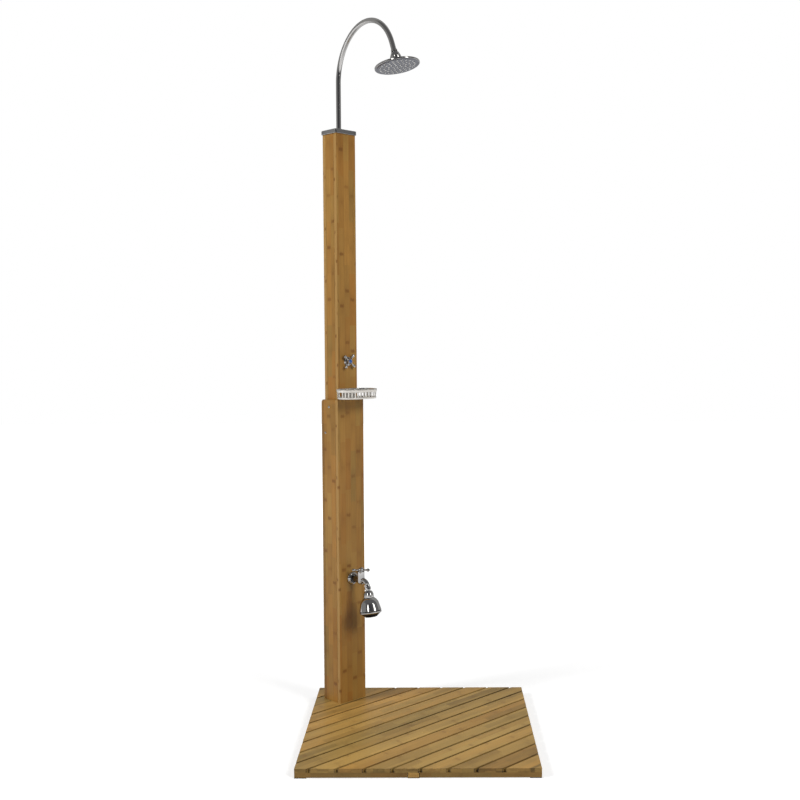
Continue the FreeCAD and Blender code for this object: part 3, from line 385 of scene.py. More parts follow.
def bamboo(name, colour, across, along, seed, board_pitch=0.0, edge_grain_and_highlight=None,
           dark_back=None, end_cut=None, spacing=0.17, contrast=1.0, marks=1.0):
    """Laminated bamboo: strips side by side, each cut into lengths at its dark nodes, with
    fibres along the grain.  Lengths get their own tone, and thin glue lines part the strips.
    The sawn edges of a board may be paler edge grain, with a painted highlight on their rounded
    corners, and its end grain darker or lighter by a given change; on the deck's slats the darker
    ends are partly painted shade, and painted shade darkens the slats' edges along the gaps
    between them."""
    made, tree, shader, own = new_finish(name)
    sizes = bpy.context.scene.shower_sizes
    across, along = Vector(across).normalized(), Vector(along).normalized()
    lie = Matrix((across, along.cross(across), along)).to_euler("XYZ")
    where = node(tree, "Mapping", {"Vector": own, "Rotation": lie}).outputs[0]
    x, y, z = node(tree, "SeparateXYZ", {0: where}).outputs[:3]

    # Strips side by side, and the lengths that each is cut into.
    column = times(tree, x, 1 / sizes.strip_width, 40.0 + 0.37 * seed)
    layer = times(tree, y, 1 / sizes.strip_depth, 60.0 + 0.61 * seed)
    strip = calc(tree, "FLOOR", column), calc(tree, "FLOOR", layer)
    start, strip_tone = dice(tree, *strip, float(seed))[:2]
    travel = times(tree, start, 9.0, calc(tree, "DIVIDE", z, spacing))
    length = calc(tree, "ADD", calc(tree, "FLOOR", travel), 31.0 * seed)
    tone, warm, mark_depth = dice(tree, *strip, length)

    # Fibres from fine to broad, glue lines and dark nodes.
    fine = speckle(tree, where, 950.0, 3.0, 0.6, 0.02)
    streak = speckle(tree, where, 170.0, 3.0, 0.55, 0.045)
    cloud = speckle(tree, where, 9.0, drawn=0.4)
    ragged = speckle(tree, where, 210.0, drawn=0.7)
    in_strip = off_middle(tree, column)
    glue = span(tree, in_strip, 0.475, 0.497)
    wander = swung(tree, ragged, 0.009, 0.0)
    to_node = times(tree, off_middle(tree, travel), spacing, wander)
    halo = span(tree, to_node, 0.004, 0.035, 1.0, 0.0)
    mark = span(tree, to_node, 0.0020, 0.0078, 1.0, 0.0)
    for share in (span(tree, in_strip, 0.26, 0.48, 1.0, 0.0),
                  span(tree, mark_depth, 0.1, 0.9, 0.08 * marks, 0.8 * marks)):
        mark = times(tree, mark, share)

    # Shade: the noises swing it about one, and places such as gaps and cut ends change it; at the
    # deck's gaps this is painted shade.
    shade = 1.0
    for noise, depth in ((tone, 0.20 * contrast), (strip_tone, 0.10 * contrast),
                         (streak, 0.42), (fine, 0.30), (cloud, 0.35)):
        shade = swung(tree, noise, depth, shade)
    changes = [(halo, -0.07), (glue, -0.14)]
    if board_pitch:
        boards = times(tree, x, 1 / board_pitch, 0.5 + seed)
        colours = node(tree, "TexWhiteNoise", {"W": calc(tree, "FLOOR", boards)},
                       noise_dimensions="1D").outputs["Color"]
        board_tone, board_warm = node(tree, "SeparateColor", {0: colours}).outputs[:2]
        shade = swung(tree, board_tone, 0.34, shade)
        warm = times(tree, board_warm, 0.7, times(tree, warm, 0.3))
        # Painted shade: the slats' edges next to the gaps between them are darkened.
        half = (board_pitch - SLAT_GAP * MM) / 2
        gap_painted_shade = span(tree, off_middle(tree, boards), (half - 3.0 * MM) / board_pitch,
                      (half - 0.8 * MM) / board_pitch)
        changes.append((gap_painted_shade, -0.40))
    if dark_back:
        back = times(tree, x, -1.0)
        changes.append((span(tree, back, dark_back, dark_back + 1.5 * MM), -0.25))
    # End grain changes shade by a given amount; the darker ends of the deck's slats are partly
    # painted shade.
    if end_cut:
        reach, change = end_cut
        sides = node(tree, "SeparateXYZ", {0: own}).outputs[:2]
        furthest = calc(tree, "MAXIMUM", *[calc(tree, "ABSOLUTE", side) for side in sides])
        at_end = span(tree, furthest, reach - 0.4 * MM, reach - 0.1 * MM)
        changes.append((at_end, change))
    for place, change in changes:
        shade = times(tree, place, change, shade)

    base = mixed(tree, warm, rgba(colour, PALE), rgba(colour, WARM))
    grey = node(tree, "CombineColor", {0: shade, 1: shade, 2: shade}).outputs[0]
    base = mixed(tree, 1.0, base, grey, "MULTIPLY")
    # Edge grain and highlight: the sawn edge is paler, and its rounded corner gets a painted
    # highlight.
    if edge_grain_and_highlight:
        at_edge_grain_and_highlight = span(tree, calc(tree, "ABSOLUTE", x), edge_grain_and_highlight - 1.3 * MM,
                       edge_grain_and_highlight - 0.2 * MM, 0.0, 0.8)
        base = mixed(tree, at_edge_grain_and_highlight, base, rgba(colour, EDGE_GRAIN_AND_HIGHLIGHT))
    height = times(tree, glue, -0.6, times(tree, mark, -0.5, fine))
    settle(tree, shader, {
        "Base Color": mixed(tree, mark, base, rgba(colour, NODE_DARK)),
        "Roughness": span(tree, fine, 0.2, 0.8, 0.38, 0.54),
        "Specular IOR Level": 0.3, "Coat Weight": 0.06, "Coat Roughness": 0.3,
        "Normal": bump(tree, height, 0.35, 0.00025)})
    return made


def metal(name, colour, roughness, wear=0.05, cast=0.0, plated=1.0):
    """Plated or bare metal: its shade and roughness drift in soft clouds, and a cast piece has
    a shallow grainy bump."""
    made, tree, shader, own = new_finish(name)
    cloud = speckle(tree, own, 60.0, 3.0)
    settle(tree, shader, {
        "Base Color": mixed(tree, cloud, rgba(colour, 0.95), rgba(colour, 1.04)),
        "Roughness": span(tree, cloud, 0.3, 0.7, roughness, roughness + wear),
        "Metallic": plated, "Specular Tint": (0.8, 0.8, 0.8, 1.0)})
    if cast:
        settle(tree, shader, {"Normal": bump(tree, speckle(tree, own, 900.0), cast, 0.0002)})
    return made


def moulded(name, colour, roughness, coat=0.0, grain=0.06, shine=0.5):
    """Moulded plastic or rubber: a fine skin texture, and a slight drift of its shade."""
    made, tree, shader, own = new_finish(name)
    skin, drift = speckle(tree, own, 500.0), speckle(tree, own, 25.0)
    settle(tree, shader, {
        "Base Color": mixed(tree, drift, rgba(colour, 0.88), rgba(colour, 1.1)),
        "Roughness": span(tree, skin, 0.3, 0.7, roughness, roughness + 0.1),
        "Specular IOR Level": shine, "Coat Weight": coat,
        "Normal": bump(tree, skin, grain, 0.0002)})
    return made


finishes_made = {}


def finish(name):
    """The finish of one name, made when it is first asked for."""
    looks = bpy.context.scene.shower_finishes
    side_way, face_way, up = (1, 1, 0), (1, -1, 0), (0, 0, 1)
    post, deck = looks.post_bamboo, looks.deck_bamboo
    back_strip = (POST_CORNER / math.sqrt(0.5) + LOWER_BACK - BOARD) * MM
    makers = {
        "lower_front_bamboo": lambda: bamboo(name, post, side_way, up, 3,
                                             edge_grain_and_highlight=LOWER_HALF * MM),
        "upper_front_bamboo": lambda: bamboo(name, post, side_way, up, 4,
                                             edge_grain_and_highlight=UPPER_HALF * MM),
        "lower_side_bamboo": lambda: bamboo(name, post, face_way, up, 5, dark_back=back_strip),
        "upper_side_bamboo": lambda: bamboo(name, post, face_way, up, 6),
        # The slats' ends are darkened by 0.30: darker end grain, partly painted shade of the
        # deck's outer faces.
        "deck_slat_bamboo": lambda: bamboo(
            name, deck, (-1, 1, 0), side_way, 11, board_pitch=SLAT_PITCH * MM,
            end_cut=(HALF_DECK * MM, -0.30), spacing=0.24, contrast=1.5, marks=0.45),
        # The rails get 0.60 of the deck's colour: painted shade of the low rails by the floor.
        "deck_rail_bamboo": lambda: bamboo(name, 0.60 * np.array(deck), up, (1, 0, 0), 17,
                                           marks=0.6),
        "deck_joist_bamboo": lambda: bamboo(name, deck, (1, 0, 0), (0, 1, 0), 19,
                                            end_cut=(HALF_DECK * MM, 0.22)),
        "polished_chrome": lambda: metal(name, looks.chrome, 0.05),
        # The foot tap's tail: 0.4 of the chrome's tint, painted shade in the gap between flange
        # and body.
        "chrome_in_painted_shade": lambda: metal(name, 0.4 * np.array(looks.chrome), 0.2),
        "plate_chrome": lambda: metal(name, looks.plate_chrome, 0.16, 0.06),
        "basket_plating": lambda: metal(name, looks.basket_chrome, 0.14, 0.08, plated=0.82),
        "plain_brass": lambda: metal(name, looks.brass, 0.28, 0.12, cast=0.05),
        "fastener_steel": lambda: metal(name, looks.steel, 0.22, 0.12),
        "riser_pipe": lambda: moulded(name, looks.riser_plastic, 0.42),
        "cup_nylon": lambda: moulded(name, looks.cup_plastic, 0.35),
        "index_enamel": lambda: moulded(name, looks.index_blue, 0.18, coat=0.6, grain=0.02),
        # Near-white nozzles: partly their own white rubber, partly a painted highlight for the
        # glints on their tips.
        "nozzle_white_and_painted_highlight": lambda: moulded(name, looks.nozzle_white_and_painted_highlight, 0.45),
        "spray_rubber": lambda: moulded(name, looks.spray_black, 0.6, grain=0.1, shine=0.12),
        "foot_rubber": lambda: moulded(name, looks.pad_rubber, 0.7, grain=0.3),
    }
    if name not in finishes_made:
        finishes_made[name] = makers[name]()
    return finishes_made[name]


def dress(solids, name):
    """Gives solids that stay as they are a finish of their own."""
    for solid in solids:
        mesh = frame["nodes"][solid].data
        mesh.materials.clear()
        mesh.materials.append(finish(name))


# ---------------- what a user may change
def length(title, words, value):
    return FloatProperty(name=title, description=words, unit="LENGTH", default=value)


def shade(title, words, value):
    return FloatVectorProperty(name=title, description=words, subtype="COLOR", size=3,
                               min=0.0, max=1.0, default=value)


class ShowerSizes(bpy.types.PropertyGroup):
    strip_width: length("Strip width", "Width of one bamboo strip", 0.0223)
    strip_depth: length("Strip depth", "Thickness of one bamboo strip", 0.0062)
    nozzle_rings: IntProperty(name="Nozzle rings", default=4, min=1,
                              description="Rings of nozzles round the middle one")
    nozzle_pitch: length("Nozzle pitch", "Distance between rings of nozzles", 0.0134)
    bar_pitch: length("Bar pitch", "Distance between the soap basket's bars", 0.012)
    thread_pitch: length("Thread pitch", "Pitch of the hose thread", 0.0022)


class ShowerFinishes(bpy.types.PropertyGroup):
    post_bamboo: shade("Post bamboo", "Colour of the lacquered post", (0.292, 0.153, 0.036))
    deck_bamboo: shade("Deck bamboo", "Colour of the oiled deck", (0.306, 0.189, 0.054))
    chrome: shade("Chrome", "Tint of the polished fittings", (0.54, 0.53, 0.52))
    basket_chrome: shade("Basket chrome", "Tint of the plated basket", (0.68, 0.65, 0.60))
    plate_chrome: shade("Spray plate", "Tint of the rain head's plate", (0.18, 0.185, 0.21))
    # Near white: partly the nozzles' own colour, partly a painted highlight on their tips.
    nozzle_white_and_painted_highlight: shade("Nozzles", "Colour of the rain head's nozzles", (0.92, 0.92, 0.90))
    brass: shade("Brass", "Colour of the bare brass", (0.70, 0.52, 0.25))
    steel: shade("Steel", "Colour of screws and bolts", (0.66, 0.65, 0.62))
    riser_plastic: shade("Riser", "Colour of the inner pipes", (0.82, 0.82, 0.80))
    cup_plastic: shade("Cup", "Colour of the ball cups", (0.85, 0.85, 0.83))
    index_blue: shade("Index", "Colour of the cold water button", (0.02, 0.08, 0.30))
    spray_black: shade("Spray face", "Colour of the foot spray's face", (0.008, 0.008, 0.009))
    pad_rubber: shade("Pads", "Colour of the deck's pads", (0.02, 0.02, 0.02))


# ---------------- deck and post
class SHOWER_OT_deck(bpy.types.Operator):
    """Finishes the slats, rails, joist and pads of the deck"""
    bl_idname = "shower.deck"
    bl_label = "Deck"

    def execute(self, context):
        slats = [name for name in frame["nodes"] if name.startswith("deck_slat_")]
        dress(slats + ["post_board"], "deck_slat_bamboo")
        dress(["rail_front", "rail_back"], "deck_rail_bamboo")
        dress(["side_rails", "centre_joist"], "deck_joist_bamboo")
        dress(["deck_pads"], "foot_rubber")
        return {"FINISHED"}


class SHOWER_OT_post(bpy.types.Operator):
    """Finishes the eight boards of the post, its foot block and the bolts under it"""
    bl_idname = "shower.post"
    bl_label = "Post"

    def execute(self, context):
        for level in ("lower", "upper"):
            dress([level + "_front_board", level + "_back_board"], level + "_front_bamboo")
            dress([level + "_left_board", level + "_right_board"], level + "_side_bamboo")
        dress(["foot_block"], "upper_side_bamboo")
        dress(["foot_bolts"], "fastener_steel")
        return {"FINISHED"}


def pan_head(place, sides=28):
    """Pan-head screw: rings at rising radii with a crowned height, pressed down inside a cross
    whose two bars are a soft step of the distance from either middle line."""
    radius = np.array([0, 0.6, 1.1, 1.6, 2.1, 2.6, 3.3, 3.9, 4.2, 4.2])[:, None]
    height = np.array([2.4, 2.4, 2.39, 2.36, 2.3, 2.15, 1.75, 1.2, 0.6, 0.0])[:, None]
    angle = around(sides)
    off_cross = radius * np.minimum(np.abs(np.cos(angle)), np.abs(np.sin(angle)))
    depth = np.clip((0.75 - off_cross) / 0.4, 0, 1) * np.clip((2.5 - radius) / 0.5, 0, 1)
    head = swept(radius, height - 1.3 * depth, angle)
    shank = swept(np.array([[1.68], [0.0]]), -3.0, angle)
    return placed(np.concatenate([head, shank]) * MM, place), False


class SHOWER_OT_screws(bpy.types.Operator):
    """Cross-head screws of the overlap, the back board and the basket"""
    bl_idname = "shower.screws"
    bl_label = "Screws"

    def execute(self, context):
        places = []
        for side in (-1, 1):
            for y, drop in ((-3.2, 24.0), (15.0, 110.0)):
                spot = shift(side * LOWER_HALF, y, LOWER_TOP - drop)
                places.append(spot @ rotation("Y", 90 * side))
        for x in (-27.0, 27.0):
            for rise in (18.0, 42.0):
                places.append(shift(x, LOWER_BACK, DECK_TOP + rise) @ facing_back)
        for x in (-18.0, 18.0):
            places.append(shift(x, UPPER_FRONT - 6.0, LOWER_TOP + 20.55) @ facing_out)
        shells = [pan_head(post_place @ place) for place in places]
        make_piece("cross_head_screws", shells, "wood_screws", look="fastener_steel")
        return {"FINISHED"}


# ---------------- cap and neck
class SHOWER_OT_cap_and_neck(bpy.types.Operator):
    """Pressed cap on the post and the bent riser that carries the rain head"""
    bl_idname = "shower.cap_and_neck"
    bl_label = "Cap and gooseneck"

    def execute(self, context):
        fit, skirt, corner, rounding = 0.05, 4.05, 6.0, 3.2

        def plan(inset):
            return oblong(UPPER_HALF + skirt + fit - inset, UPPER_BACK + skirt + fit - inset,
                          corner - min(inset, 5.0), 9)

        hole = unit(plan(0)) * (NECK_RADIUS + fit)
        edge = np.radians(np.linspace(0, 90, 8))
        insets = [skirt, 0.8, 0.0] + list(rounding - rounding * np.cos(edge))
        plans = [plan(inset) for inset in insets] + [hole, hole, plan(skirt)]
        heights = ([CAP_BOTTOM, CAP_BOTTOM, CAP_BOTTOM + 0.8]
                   + list(CAP_TOP - rounding + rounding * np.sin(edge))
                   + [CAP_TOP, CAP_TOP - CAP_PLATE, CAP_TOP - CAP_PLATE])
        make_piece("cap", [lofted(plans, heights, post_place)], "post_cap")

        path = bend_path(np.array([0, 0, NECK_BEND_START]), NECK_BEND, NECK_SWEEP,
                         NECK_BEND_START - NECK_TAIL, NECK_STRAIGHT)
        neck = hollow_tube(path, NECK_RADIUS, NECK_BORE, arm_place)
        make_piece("bent_riser", [neck], "gooseneck")
        dress(["neck_nut"], "plain_brass")
        return {"FINISHED"}


# ---------------- ball joints
def ball_profile(collar_radius, collar_top, spigot_radius, spigot_length):
    """Ball with a water bore, its neck, its collar and the spigot above it."""
    neck = math.degrees(math.acos(BALL_NECK / BALL))
    return outline([(WATER_BORE, BALL_CUT)] + arc(0, BALL, angle_at(BALL_CUT, BALL), neck, 30) + [
        (BALL_NECK, COLLAR, 0.5), (collar_radius, COLLAR, 0.9), (collar_radius, collar_top, 0.4),
        (spigot_radius, collar_top), (spigot_radius, collar_top + spigot_length, 0.3),
        (WATER_BORE, collar_top + spigot_length)])


def nut_profile(outer, shoulder, mouth_outer):
    """Swivel nut: a spherical space for the cup, a rounded mouth, and a domed shoulder that
    widens to the grip."""
    mouth = math.sqrt(CAVITY ** 2 - MOUTH ** 2)
    lip = 10.0
    return outline([
        (mouth + 0.8, lip, 0.3), (mouth_outer, lip, 0.8), (shoulder, 3.8, 1.6), (outer, -3.0, 2.0),
        (outer, NUT_BOTTOM, 1.0), (THREAD_RADIUS, NUT_BOTTOM), (THREAD_RADIUS, -2.4),
        (CAVITY, -1.6)] + arc(0, CAVITY, 0, angle_at(MOUTH, CAVITY), 12))


def cup_seat():
    """The spherical seat in a head's hub, from its bore up to its rim."""
    seat = arc(0, CAVITY, angle_at(SEAT_FOOT, CAVITY), angle_at(SEAT_RIM, CAVITY), 8)
    return [(HUB_BORE, SEAT_FOOT - 0.8)] + seat + [(HUB_RADIUS, SEAT_RIM)]


def fluted(shell, place, count, depth, low, high):
    """Presses shallow grip flutes into a turned shell between two heights: the radius loses
    the depth times a high power of the cosine of the angle, faded out at both ends."""
    grid, closed = shell
    own = (grid - place[:3, 3]) @ place[:3, :3]
    radius = np.linalg.norm(own[..., :2], axis=-1)
    angle = np.arctan2(own[..., 1], own[..., 0])
    z = own[..., 2] / MM
    fade = np.clip((z - low) / 1.5, 0, 1) * np.clip((high - z) / 1.5, 0, 1) * (radius > 14.0 * MM)
    press = depth * MM * fade * np.cos(angle * count / 2) ** 8
    own[..., :2] *= ((radius - press) / np.maximum(radius, 1e-6))[..., None]
    return placed(own, place), closed


class SHOWER_OT_rain_head(bpy.types.Operator):
    """Ball, cup, nut, domed shell and nozzle plate of the overhead spray"""
    bl_idname = "shower.rain_head"
    bl_label = "Rain head"

    def execute(self, context):
        sizes = context.scene.shower_sizes
        ball = ball_profile(10.0, RAIN_BALL_TO_PIPE, 6.75, 10.0)
        make_piece("rain_ball_joint", [turned(ball, rain_ball_place)], "rain_ball")
        dress(["rain_cup"], "cup_nylon")
        nut = turned(nut_profile(17.0, 14.2, 11.2), rain_place, 96)
        make_piece("rain_swivel_nut", [nut], "rain_nut", "rain_head")

        face, rim, edge = -34.0, -27.4, 69.6
        dome = [(HUB_RADIUS, NUT_BOTTOM, 0.5), (17.6, -15.8, 6.0), (26.0, -19.4, 16.0),
                (42.0, -22.7, 30.0)]
        shell = outline([(HUB_BORE, face + 3.6)] + cup_seat() + dome + [
            (edge, rim - 1.1, 2.2), (edge, face, 0.9), (edge - 1.6, face, 0.4),
            (edge - 1.6, rim - 2.4, 1.0), (36.9, -23.4, 10.0), (17.0, face + 3.6, 2.0)], 12)
        make_piece("rain_dome", [turned(shell, rain_place, 144)], "rain_shell", "rain_head")

        low, back, inner = face - 0.6, face + 2.0, edge - 1.65
        plate = outline([(0, back), (0, low), (61.6, low, 0.6), (63.7, face + 0.5, 0.6),
                         (65.7, face + 0.5, 0.4), (inner, face + 0.1), (inner, back)], 6)
        make_piece("nozzle_plate", [turned(plate, rain_place, 144)], "rain_face", "rain_head",
                   "plate_chrome")
        spots = [(0.0, 0.0)]
        for ring in range(1, sizes.nozzle_rings + 1):
            angle, reach = around(6 * ring), ring * sizes.nozzle_pitch / MM
            spots += list(zip(reach * np.cos(angle), reach * np.sin(angle)))
        tip, foot = 2.0, 2.9
        nozzle = outline([
            (0, low + 0.3), (0, low - 1.6), (0.6, low - 1.6), (0.8, low - 1.8, 0.1),
            (tip, low - 1.8, 0.4), (tip + 0.3, low - 0.5, 0.3), (foot, low, 0.3),
            (foot, low + 0.3)], 4)
        shells = [turned(nozzle, rain_place @ shift(x, y, 0), 16) for x, y in spots]
        make_piece("rain_nozzles", shells, "rain_face", "rain_head", "nozzle_white_and_painted_highlight")
        return {"FINISHED"}


# ---------------- taps
def cross_handle(place, pose, hub):
    """Shells of a cross handle: a turned hub, and four arms that are turned about their own
    axes, each a waisted neck that swells into a rounded lobe."""
    end = 30.0
    arm = outline([(0, 3.0), (4.0, 3.0), (3.9, 7.5, 2.0), (2.7, 13.5, 6.0), (3.1, 18.0, 4.0),
                   (5.2, 21.5, 3.2), (5.2, end - 2.0, 4.2), (0, end)], 8)
    return [turned(hub, place, 64)] + [
        turned(arm, place @ rotation("Z", pose + 90 * quarter) @ rotation("Y", 90), 32)
        for quarter in range(4)]


class SHOWER_OT_upper_valve(bpy.types.Operator):
    """Escutcheon, cross handle and cold index of the upper valve"""
    bl_idname = "shower.upper_valve"
    bl_label = "Upper valve"

    def execute(self, context):
        bonnet = outline([
            (SPINDLE_BORE, -22.0), (9.4, -22.0), (9.4, 0), (15.0, 0), (15.0, 1.2, 0.5),
            (11.5, 3.0, 3.0), (9.0, 3.0, 0.3), (9.0, 3.8, 0.3), (SPINDLE_BORE, 3.8)])
        make_piece("escutcheon", [turned(bonnet, valve_place)], "upper_bonnet")
        arms = valve_place @ shift(0, 0, 10.0)
        seat, top, crown, bulge = 5.5, 6.5, 1.0, 18.5
        hub = outline([(0, seat), (6.0, seat), (6.0, top, 0.3), (7.3, top, 0.5), (8.5, 4.5, 1.4),
                       (8.5, -3.7, 0.8), (7.0, -5.2, 0.6), (0, -5.2)])
        make_piece("upper_cross", cross_handle(arms, 50.0, hub), "upper_handle", "upper_handle")
        button = outline(arc(top + crown - bulge, bulge, 90, 71.1, 12) + [
            (6.0, top, 0.2), (6.0, seat), (0, seat)])
        make_piece("cold_button", [turned(button, arms, 48)], "upper_index", "upper_handle",
                   "index_enamel")
        dress(["upper_spindle", "upper_valve_body"], "plain_brass")
        return {"FINISHED"}


class SHOWER_OT_water_way(bpy.types.Operator):
    """Pipes and tee inside the post, and the threaded hose inlet behind it"""
    bl_idname = "shower.water_way"
    bl_label = "Water way"

    def execute(self, context):
        pitch = context.scene.shower_sizes.thread_pitch / MM
        dress(["middle_riser", "upper_riser"], "riser_pipe")
        dress(["riser_tee"], "plain_brass")
        place = post_place @ shift(0, LOWER_BACK, TAP_HEIGHT) @ facing_back
        body = outline([
            (5.5, -22.0), (10.0, -22.0), (10.0, 0), (19.0, 0), (19.0, 4.0, 0.8), (12.0, 4.0),
            (12.0, 24.0, 0.6), (8.5, 24.0, 0.3), (5.5, 21.0)])
        # The thread: a ridge whose height along the pipe grows by one pitch in each turn.
        start, end, fade = 4.6, 23.4, 1.6
        z = np.linspace(start, end, 86)
        angle = around(72)
        phase = (z[:, None] / pitch - angle / (2 * np.pi)) % 1.0
        ridge = np.clip(1.6 - 3.6 * np.abs(phase - 0.5), 0, 1)
        ends = np.clip((z - start) / fade, 0, 1) * np.clip((end - z) / fade, 0, 1)
        radius = 11.9 + 1.3 * ridge * ends[:, None]
        skin = swept(radius, z[:, None], angle)
        low, high = swept(11.0, start, angle)[None], swept(11.0, end, angle)[None]
        rings = np.concatenate([low, skin, high]) * MM
        make_piece("threaded_inlet", [turned(body, place), (placed(rings, place), True)],
                   "hose_inlet", look="plain_brass")
        return {"FINISHED"}


class SHOWER_OT_foot_tap(bpy.types.Operator):
    """Flange, body, cross handle and bent spout of the low tap"""
    bl_idname = "shower.foot_tap"
    bl_label = "Foot tap"

    def execute(self, context):
        pipe, bore = 10.0, 5.5
        flange = outline([
            (pipe + 0.05, 0), (21.75, 0), (21.75, 1.6, 0.5), (20.0, 6.0, 5.0), (15.6, 9.0, 0.9),
            (14.0, 8.4, 0.6), (12.4, 4.6, 2.0), (pipe + 0.05, 4.0)], 10)
        make_piece("wall_flange", [turned(flange, tap_place, 96)], "foot_flange")

        upright = outline([
            (0, -14.0), (7.5, -14.0, 6.0), (12.2, -8.0, 6.5), (12.2, 29.0, 1.0),
            (SPINDLE_BORE, 29.0), (SPINDLE_BORE, 9.0), (0, 9.0)], 10)
        boss_end = SPOUT_BOSS - TAP_REACH
        boss = outline([(bore, 6.0), (9.6, 6.0), (9.6, boss_end, 0.8), (7.0, boss_end),
                        (7.0, 10.0), (bore, 10.0)])
        make_piece("tap_body", [turned(upright, tap_upright),
                                turned(boss, tap_upright @ facing_out, 56)], "foot_tap_body")
        # The tail between flange and body is darkened chrome: painted shade in that gap.
        barrel = outline([(bore, 6.0), (pipe, 6.0), (pipe, TAP_REACH + 22.0),
                          (bore, TAP_REACH + 22.0)])
        make_piece("tap_tail", [turned(barrel, tap_upright @ facing_back, 56)], "foot_tap_body",
                   look="chrome_in_painted_shade")
        dress(["foot_spindle"], "plain_brass")

        arms = tap_upright @ shift(0, 0, 33.0)
        hub = outline([(0, 8.2), (2.4, 8.15, 2.0), (6.9, 7.0, 3.0), (8.5, 4.6, 1.6),
                       (8.5, -1.5, 0.8), (7.0, -3.0, 0.6), (0, -3.0)])
        make_piece("foot_cross", cross_handle(arms, 45.0, hub), "foot_handle", "foot_handle")

        angle = np.radians(np.linspace(0, SPOUT_SWEEP, 32))
        y = LOWER_FRONT - SPOUT_BOSS - SPOUT_BEND * np.sin(angle)
        z = TAP_HEIGHT - SPOUT_BEND * (1 - np.cos(angle))
        bend = np.stack([0 * y, y, z], 1)
        way = np.array([0, -math.cos(angle[-1]), -math.sin(angle[-1])])
        path = np.concatenate([bend[:1] + [[0, 6.0, 0]], bend, bend[-1:] + 1.0 * way])
        radii = [SPOUT_RADIUS - 1.0] + [SPOUT_RADIUS] * (len(path) - 1)
        spout = hollow_tube(path, radii, SPOUT_RADIUS - 2.0, post_place)
        make_piece("bent_spout", [spout], "foot_spout")
        return {"FINISHED"}


class SHOWER_OT_foot_spray(bpy.types.Operator):
    """Ball, cup, nut, bell and black face of the swivelling foot spray"""
    bl_idname = "shower.foot_spray"
    bl_label = "Foot spray"

    def execute(self, context):
        ball = ball_profile(10.7, FOOT_BALL_TO_PIPE, 5.95, 1.0)
        make_piece("foot_ball_joint", [turned(ball, foot_place)], "foot_ball")
        dress(["foot_cup"], "cup_nylon")
        nut = turned(nut_profile(17.2, 15.8, 11.6), foot_place, 192)
        nut = fluted(nut, foot_place, 24, 0.6, NUT_BOTTOM + 1.0, SEAT_RIM)
        make_piece("foot_swivel_nut", [nut], "foot_nut", "foot_head")

        round_radius, neck, shelf = 32.3, 16.2, -18.0
        start = angle_at(neck, round_radius)
        centre = NUT_BOTTOM - round_radius * math.cos(math.radians(start))
        shoulder = arc(centre, round_radius, 90 - start, 90 - 74.0, 28)
        groove, rim, skirt, floor, inner = -57.0, -63.0, 36.6, 34.8, 32.0
        bell = outline([(HUB_BORE, shelf)] + cup_seat() + [(HUB_RADIUS, NUT_BOTTOM)] + shoulder + [
            (skirt, groove + 3.2, 0.7), (floor, groove + 2.8, 0.3), (floor, groove + 0.4, 0.3),
            (skirt, groove, 0.6), (skirt - 0.4, rim + 2.4, 2.0), (34.0, rim, 0.6),
            (inner, rim, 0.3), (32.8, groove, 1.0), (29.0, -31.6, 8.0), (20.0, -20.0, 10.0),
            (HUB_RADIUS, shelf)], 9)
        make_piece("spray_bell", [turned(bell, foot_place, 144)], "foot_bell", "foot_head")

        band = outline([(floor - 0.2, groove + 0.6), (floor + 0.25, groove + 0.6),
                        (floor + 0.25, groove + 2.7), (floor - 0.2, groove + 2.7)])
        make_piece("groove_band", [turned(band, foot_place, 144)], "foot_bell", "foot_head",
                   "spray_rubber")
        low, side = rim - 11.5, inner - 0.05
        cone = outline([(0, low), (18.5, low, 2.0), (side, rim - 0.8, 0.8), (side, rim + 3.0),
                        (0, rim + 3.0)])
        nozzle = outline([(0, low + 0.5), (0, low - 0.1), (0.5, low - 0.1), (0.6, low - 0.5, 0.1),
                          (1.0, low - 0.5, 0.2), (1.3, low + 0.5)], 3)
        shells = [turned(cone, foot_place, 96)]
        for reach, count in ((5.0, 6), (10.0, 12), (15.0, 18)):
            for k in range(count):
                place = foot_place @ rotation("Z", 360 * k / count) @ shift(reach, 0, 0)
                shells.append(turned(nozzle, place, 12))
        make_piece("spray_face", shells, "foot_face", "foot_head", "spray_rubber")
        return {"FINISHED"}


